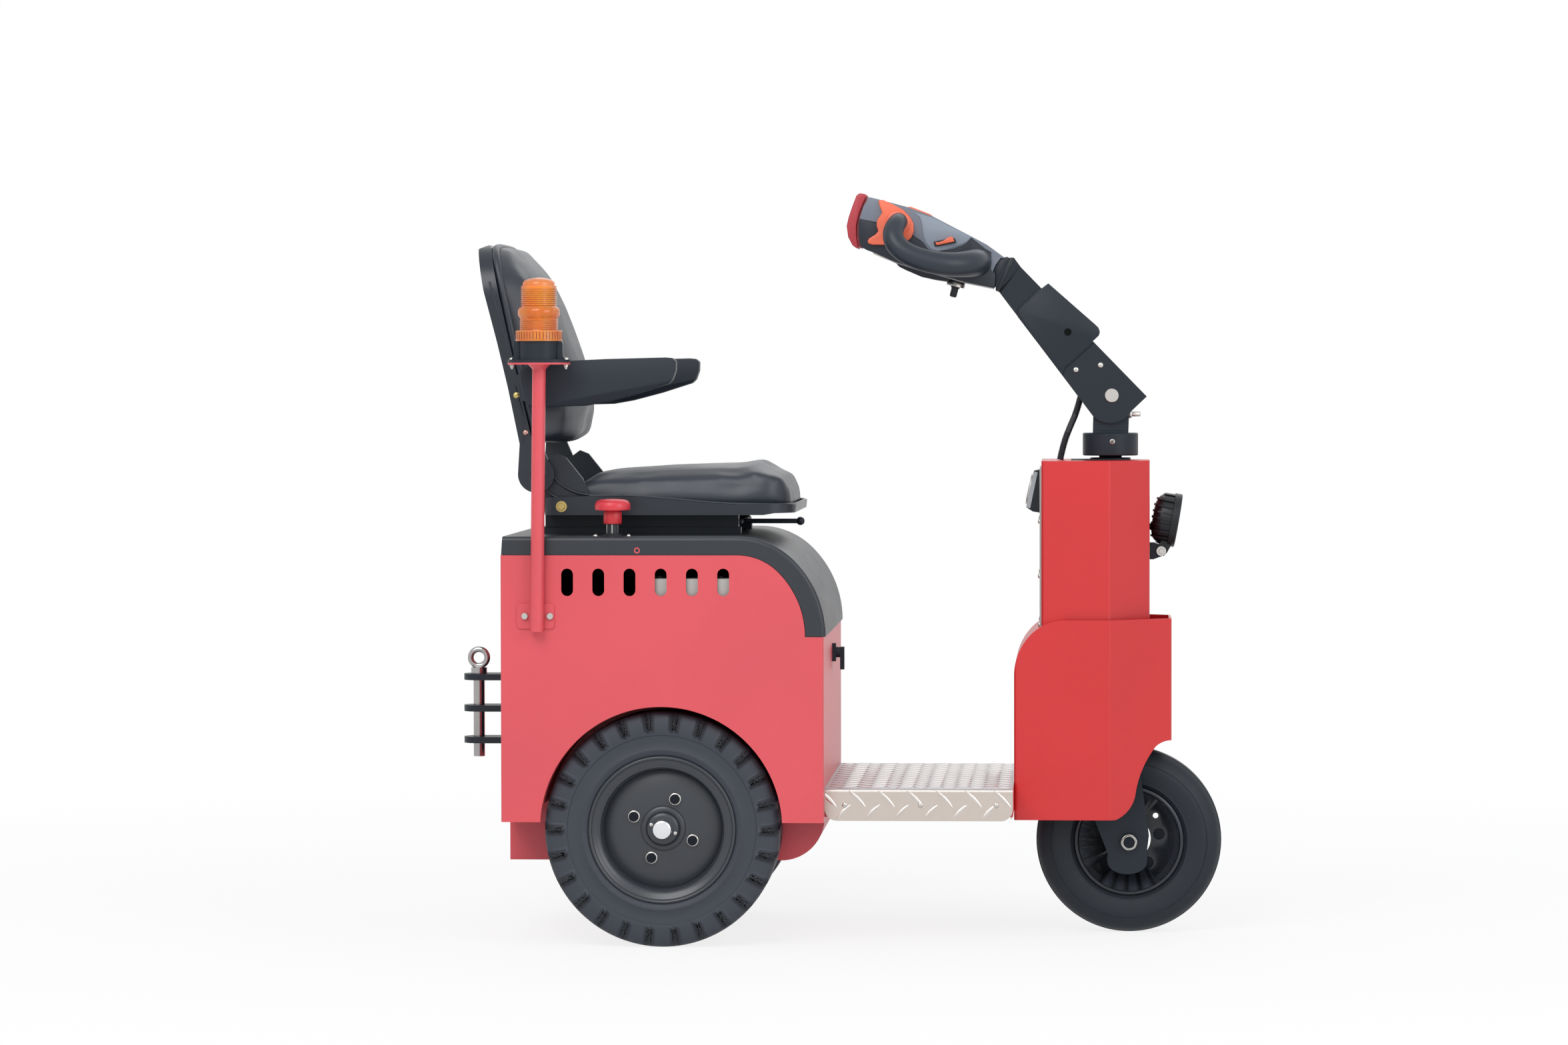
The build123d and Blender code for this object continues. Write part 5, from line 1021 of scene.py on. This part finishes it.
# Painted shade: flat near-black discs stand in for the dark inside of the sleeve's holes.
settle(joined(*holes), "mast_sleeve_holes", "mast", shade_black)
sleeve = plate([(577.4, 1032.6), (579.6, 1042.2), (618, 1079.5), (629.1, 1087.8), (707.3, 1018.9), (713, 1013.4),
                (715.2, 1006.4), (713.6, 1000.6), (703.9, 991.7), (657.6, 949), (652.2, 934.2)], -44, 88)
settle(rounded(sleeve, 1.0, 2, 20), "mast_sleeve_folded", "mast", black_paint, ["mast_sleeve"])
settle(joined(*beads[0:2], *beads[3:5]), "mast_welds", "mast", black_paint)
settle(joined(beads[2], beads[5]), "bracket_welds", "steering", black_paint)
settle(joined(*pin_heads), "mast_pin_heads", "steering", bright_zinc)
stop_nut = placed(hex_head(7.4, 5.4, 1.02, 0.6), (762.9, 0, 869), (1, 0, 0), 10)
stop_end = turned([(768, 0), (768, 4.3), (782, 4.3), (783.2, 3.4), (783.2, 0)], (0, 0, 869), (1, 0, 0), 24)
settle(joined(stop_nut, stop_end), "mast_stop_nut", "steering", bright_zinc)
set_screws = [placed(socket_head(4.4, 1.6, 0.55, 0.6), (735.8, 46 * out, 823.2), (0, out, 0)) for _, out in SIDES]
settle(joined(*set_screws), "collar_set_screws", "steering", bright_zinc)

# Column: the bearing flange and plates on its top, and the screws that hold its back cover
flange = turned([(792.1, 22), (792.1, 34), (795, 34), (796, 33), (796, 22)], (733, 0, 0), UP, 64)
bed = block((667, -42, 792), (765, 42, 793.6))
settle(joined(rounded(bed, 0.5, 1), flange), "column_top_plate", "root", black_paint)
cover_screws = []
for _, out in SIDES:
    for z in (692, 601, 520):
        cover_screws.append(placed(cross_head(4.4, 3.0), (615.1, 104 * out, z), (-1, 0, 0), 25))
settle(joined(*cover_screws), "column_cover_screws", "root", bright_zinc)

# Charge gauge: a ringed dial with bars on the cover's sloping back
dial_out = Vector((-61, 0, 13)).normalized()
dial_middle = Vector((598.5, 0, 743.5))
cover = slab([(591.8, -32.6, 713), (591.8, 32.6, 713), (604.3, 32.6, 773.2), (604.3, -32.6, 773.2)], -dial_out * 7)
settle(cover, "gauge_cover", "root", gauge_grey)
ring = turned([(-0.5, 23), (2.2, 23.6), (3, 24.6), (3, 26), (2.2, 27), (-0.5, 27)], dial_middle, dial_out, 56)
settle(ring, "gauge_ring", "root", bright_zinc)
settle(turned([(-0.4, 0), (-0.4, 23.5), (0.5, 23.5), (0.5, 0)], dial_middle, dial_out, 56), "gauge_dial", "root",
       dial_paper)
bars = []
for mark in range(11):
    bars.append(placed(block((-0.6, 15.5, 0), (0.6, 20.5 if mark % 5 == 0 else 18.6, 0.3)), dial_middle + dial_out * 0.5,
                       dial_out, 30 + 12 * mark))
pointer = placed(slab([(-1.2, -3, 0), (1.2, -3, 0), (0.3, 16, 0), (-0.3, 16, 0)], (0, 0, 0.5)),
                 dial_middle + dial_out * 0.9, dial_out, 66)
settle(joined(*bars, pointer, placed(turned([(0, 0), (0, 3.4), (1.6, 3), (1.8, 0)], axis=UP, steps=24),
                                     dial_middle + dial_out * 0.5, dial_out)), "gauge_marks", "root", black_plastic)
settle(turned([(1.6, 23.6), (2.4, 23.4), (3.6, 14), (4, 0), (3.2, 0), (2.8, 12)], dial_middle, dial_out, 56),
       "gauge_glass", "root", clear_cover)

# Control hose: corrugated outside its smooth middle, from the column's top up into the mast
HOSE_ROUTE = [(648.6, 0, 792.5), (654.5, 0, 820), (665, 0, 847), (676.5, 0, 873), (683, 0, 898)]
route = bpy.data.curves.new("hose_route", "CURVE")
route.dimensions = "3D"
route.resolution_u = 24
spline = route.splines.new("NURBS")
spline.points.add(len(HOSE_ROUTE) - 1)
for point, place in zip(spline.points, HOSE_ROUTE):
    point.co = (*((Vector(place) * MM) + AXLE_TO_PART), 1.0)
spline.order_u = 3
spline.use_endpoint_u = True
holder = bpy.data.objects.new("hose_route", route)
followed = bpy.data.meshes.new_from_object(holder)
hose_line = [vertex.co.copy() for vertex in followed.vertices]
bpy.data.objects.remove(holder)
bpy.data.curves.remove(route)
bpy.data.meshes.remove(followed)
hose_run = [0.0]
for first, second in zip(hose_line, hose_line[1:]):
    hose_run.append(hose_run[-1] + (second - first).length)
hose_length = hose_run[-1]


def on_hose(along):
    """Where the hose's middle line is after a length, and which way it runs there."""
    along = min(max(along, 0.0), hose_length)
    for index in range(len(hose_run) - 1):
        if along <= hose_run[index + 1] + 1e-9:
            first, second = hose_line[index], hose_line[index + 1]
            share = (along - hose_run[index]) / (hose_run[index + 1] - hose_run[index])
            return first.lerp(second, share), (second - first).normalized()


rows = [(0, 0)]
ridges = 42
for ridge in range(ridges):
    low = ridge / ridges
    plain = 0.42 < low < 0.72
    for share, radius in ((0.0, 4.8), (0.25, 5.9), (0.6, 5.9), (0.85, 4.8)):
        rows.append(((low + share / ridges) * hose_length / MM, 5.4 if plain else radius))
rows += [(hose_length / MM, 4.6), (hose_length / MM, 0)]
hose = turned(rows, (0, 0, 0), UP, 24)
for vertex in hose.verts:
    place, run = on_hose(vertex.co.z * MM)
    bend = Vector((0, 1, 0)).cross(run).normalized()
    off = (bend * vertex.co.x + Vector((0, 1, 0)) * vertex.co.y) * MM
    vertex.co = (place + off - AXLE_TO_PART) / MM
bmesh.ops.recalc_face_normals(hose, faces=hose.faces)
hose = settle(hose, "control_hose_ribbed", "steering", hose_black, ["control_hose"], smooth=50)

# Backrest and seat: ribs, the seam behind the cushion, and the screws and bolts on both sides
ribs, seams, yellow, pink, knuckles = [], [], [], [], []
for _, out in SIDES:
    ribs.append(tube([(x, 214.8 * out, z) for x, z in (
        (-247.1, 918.1), (-242.8, 900.5), (-234, 872), (-230.8, 845), (-234.5, 824))], 2.0, [0.8, 1.0, 1.0, 1.0, 0.8]))
    seams.append(tube([(x, 214.8 * out, z) for x, z in (
        (-289.2, 1090), (-283.6, 1068), (-277.3, 1043.5), (-262, 997.2), (-254, 950))], 1.5))
    yellow.append(placed(cross_head(5.2, 2.8), (-245, 214.9 * out, 902.7), (0, out, 0), 15))
    pink.append(placed(cross_head(4.6, 2.6), (-230, 214.9 * out, 841.2), (0, out, 0), 40))
    pink.append(placed(hex_head(6.4, 4.6, 1.42, 1.4), (-171.2, 214.9 * out, 719.2), (0, out, 0), 10))
    knuckles.append(placed(turned([(0, 0), (0, 17), (1.4, 17), (2.2, 16), (2.2, 9.6), (1.2, 9), (1.2, 0)], axis=UP,
                                  steps=48), (-213, 214.9 * out, 772), (0, out, 0)))
settle(joined(*ribs), "backrest_ribs", "backrest", seat_plastic)
settle(joined(*seams), "backrest_side_seams", "backrest", vinyl)
settle(joined(*yellow), "backrest_yellow_screws", "backrest", yellow_zinc)
settle(pink[0], "backrest_screw_right", "backrest", pink_zinc)
settle(pink[2], "backrest_screw_left", "backrest", pink_zinc)
settle(joined(pink[1], pink[3]), "seat_ear_bolts", "seat", yellow_zinc)
ear_ribs = []
for _, out in SIDES:
    for line in (
        [(-196, 203.4, 781), (-190, 203.4, 772), (-177, 203.6, 757), (-157, 204, 745), (-139, 208, 739), (-118, 213, 737)],
        [(-206, 203.4, 762), (-199, 203.4, 747), (-190, 203.4, 738), (-176, 206, 732), (-160, 213, 729)],
    ):
        ear_ribs.append(tube([(x, y * out, z) for x, y, z in line], 2.4, [0.7, 1, 1, 1, 1, 0.8][: len(line)]))
settle(joined(*ear_ribs), "seat_ear_ribs", "seat", seat_plastic)
settle(joined(*knuckles), "backrest_knuckle_caps", "backrest", seat_plastic)

# Stop button: a domed cap on its collar and slotted stem
BUTTON_FOOT = (-81, -275, 0)
stop_cap = turned([(714.4, 0), (714.4, 26), (715.4, 28.6), (719, 29.4), (725.5, 28.9), (729.8, 26), (732.2, 20),
                   (733.2, 10), (733.4, 0)], BUTTON_FOOT, UP, 56)
settle(stop_cap, "stop_button_cap", "root", stop_cap_red, ["stop_button"])
settle(turned([(692.6, 0), (692.6, 14.2), (694, 15), (711, 15), (714.6, 13), (714.6, 0)], BUTTON_FOOT, UP, 48),
       "stop_button_collar", "root", stop_stem_red)
stem = [turned([(672.5, 0), (672.5, 16), (675, 16), (675.6, 15), (675.6, 10.6), (692.8, 10.2), (692.8, 0)], BUTTON_FOOT,
               UP, 40)]
settle(joined(*stem), "stop_button_stem", "root", black_plastic)
slits = []
for quarter in range(6):
    aim = Vector((cos(radians(60 * quarter - 90)), sin(radians(60 * quarter - 90)), 0))
    slits.append(placed(block((-0.8, -7, 0), (0.8, 7, 0.5)), Vector((-81, -275, 684.5)) + aim * 10.2, aim))
settle(joined(*slits), "stop_button_slits", "root", bright_zinc)
deck_screws = [placed(cross_head(4.0, 3.0), (x, -275, 672.4), UP) for x in (-109, -55)]
settle(joined(*deck_screws), "stop_button_screws", "root", bright_zinc)

# Body: the pole plate's cap screws and the rimmed hole in the deck's edge
pole_screws = [placed(socket_head(5.4, 5.2, 0.5, 0.5), (-201 + along, -312.8, 543), (0, -1, 0)) for along in (-20.6, 20.6)]
settle(joined(*pole_screws), "pole_plate_screws", "root", bright_zinc)
for side, out in SIDES:
    grommet = placed(turned([(0, 3), (0, 5), (0.8, 4.8), (1, 4.2), (0.4, 3)], axis=UP, steps=24),
                     (-38.5, 307.9 * out, 649.8), (0, out, 0))
    settle(grommet, f"deck_grommet_{side}", "deck", red_paint)

# Battery bay: a near-black sheet behind the slots, painted shade inside the body, and a rail with cell caps along each
# side of the battery
bay_shade_sheet = plate([(-256.4, 560), (-28.5, 560), (-28.5, 594.4), (136, 594.4), (136, 630), (128, 638), (-256.4, 638)], -1.2, 2.4)
settle(rounded(bay_shade_sheet, 0.5, 1), "battery_bay_shade_sheet", "root", shade_black)
rails, caps = [], []
for _, out in SIDES:
    rail = block((-22, 261 * out, 556), (181, 302 * out, 604))
    bmesh.ops.recalc_face_normals(rail, faces=rail.faces)
    rails.append(rounded(rail, 2.5, 2))
    for step in range(6):
        caps.append(placed(turned([(0, 0), (0, 8), (3, 8), (4, 7), (4, 0)], axis=UP, steps=24),
                           (-4 + 33.5 * step, 281 * out, 604)))
settle(joined(*rails), "battery_rails", "root", rail_grey)
settle(joined(*caps), "battery_cell_caps", "root", black_plastic)

# Camera, level with the seat's arms and a little ahead of the tractor's middle
CAMERA_PLACE = (0.40014, -8.59835, 0.93732)
CAMERA_YAW, CAMERA_PITCH, CAMERA_ROLL = 0.0574894, 0.0290095, -0.0015743
lens = bpy.data.cameras.new("camera")
lens.lens = 117.7
lens.sensor_width = 36.0
lens.clip_end = 60.0
camera = bpy.data.objects.new("camera", lens)
bpy.context.collection.objects.link(camera)
camera.location = CAMERA_PLACE
ahead = Vector((-sin(CAMERA_YAW) * cos(CAMERA_PITCH), cos(CAMERA_YAW) * cos(CAMERA_PITCH), -sin(CAMERA_PITCH)))
camera.rotation_mode = "QUATERNION"
camera.rotation_quaternion = ahead.to_track_quat("-Z", "Y") @ Quaternion((0, 0, 1), CAMERA_ROLL)
bpy.context.scene.camera = camera
bpy.context.scene.view_settings.view_transform = "Standard"


def lamp(name, place, aim, size, watts):
    """A soft square lamp that faces a point."""
    light = bpy.data.lights.new(name, "AREA")
    light.shape = "SQUARE"
    light.size = size
    light.energy = watts
    shade = bpy.data.objects.new(name, light)
    bpy.context.collection.objects.link(shade)
    shade.location = place
    shade.rotation_euler = (Vector(aim) - Vector(place)).to_track_quat("-Z", "Y").to_euler()


lamp("key", (-1.6, -4.2, 4.2), (0.0, 0.0, 0.5), 3.2, 150.0)
lamp("fill", (3.6, -3.6, 2.4), (0.2, 0.0, 0.5), 3.0, 80.0)
lamp("back", (0.5, 4.2, 3.6), (0.0, 0.0, 0.5), 3.4, 26.0)

# World: white for the camera and behind glass, a soft grey light elsewhere
world = bpy.data.worlds.new("studio")
bpy.context.scene.world = world
world.use_nodes = True
sky = world.node_tree
sky.nodes.clear()
paths = sky.nodes.new("ShaderNodeLightPath")
white = sky.nodes.new("ShaderNodeBackground")
white.inputs["Color"].default_value = (1.0, 1.0, 1.0, 1.0)
white.inputs["Strength"].default_value = 1.0
soft = sky.nodes.new("ShaderNodeBackground")
soft.inputs["Color"].default_value = (0.86, 0.88, 0.92, 1.0)
soft.inputs["Strength"].default_value = 0.62
direct = sky.nodes.new("ShaderNodeMath")
direct.operation = "MAXIMUM"
either = sky.nodes.new("ShaderNodeMixShader")
out = sky.nodes.new("ShaderNodeOutputWorld")
sky.links.new(paths.outputs["Is Camera Ray"], direct.inputs[0])
sky.links.new(paths.outputs["Is Transmission Ray"], direct.inputs[1])
glossy = sky.nodes.new("ShaderNodeMath")
glossy.operation = "MAXIMUM"
sky.links.new(paths.outputs["Is Glossy Ray"], glossy.inputs[1])
sky.links.new(direct.outputs[0], glossy.inputs[0])
sky.links.new(glossy.outputs[0], either.inputs[0])
sky.links.new(soft.outputs[0], either.inputs[1])
sky.links.new(white.outputs[0], either.inputs[2])
sky.links.new(either.outputs[0], out.inputs["Surface"])

# Floor: white wherever the camera looks, darkened only where the tractor shades it
floor_shape = bmesh.new()
bmesh.ops.create_grid(floor_shape, x_segments=1, y_segments=1, size=30.0)
floor_mesh = bpy.data.meshes.new("floor")
floor_shape.to_mesh(floor_mesh)
floor_shape.free()
floor = bpy.data.objects.new("floor", floor_mesh)
bpy.context.collection.objects.link(floor)
floor_look = Recipe("floor_white", Base_Color=(0.9, 0.9, 0.91), Roughness=0.7, Specular_IOR_Level=0.2)
tree = floor_look.tree
glow = floor_look.node("ShaderNodeEmission", None, {"Color": (1.0, 1.0, 1.0, 1.0), "Strength": 1.0})
rays = floor_look.node("ShaderNodeLightPath")
away = Signal(floor_look, floor_look.node("ShaderNodeVectorMath", {"operation": "LENGTH"}, {0: floor_look.place})
              .outputs["Value"])
seen = Signal(floor_look, rays.outputs["Is Camera Ray"]) + Signal(floor_look, rays.outputs["Is Glossy Ray"])
seen = (seen + Signal(floor_look, rays.outputs["Is Transmission Ray"])).clamped()
share = floor_look.node("ShaderNodeMixShader", None, {
    0: seen * (0.82 + away.over(0.9, 3.2) * 0.18), 1: floor_look.shader.outputs[0], 2: glow.outputs[0],
})
tree.links.new(share.outputs[0], tree.nodes["Material Output"].inputs["Surface"])
floor_mesh.materials.append(floor_look.material)
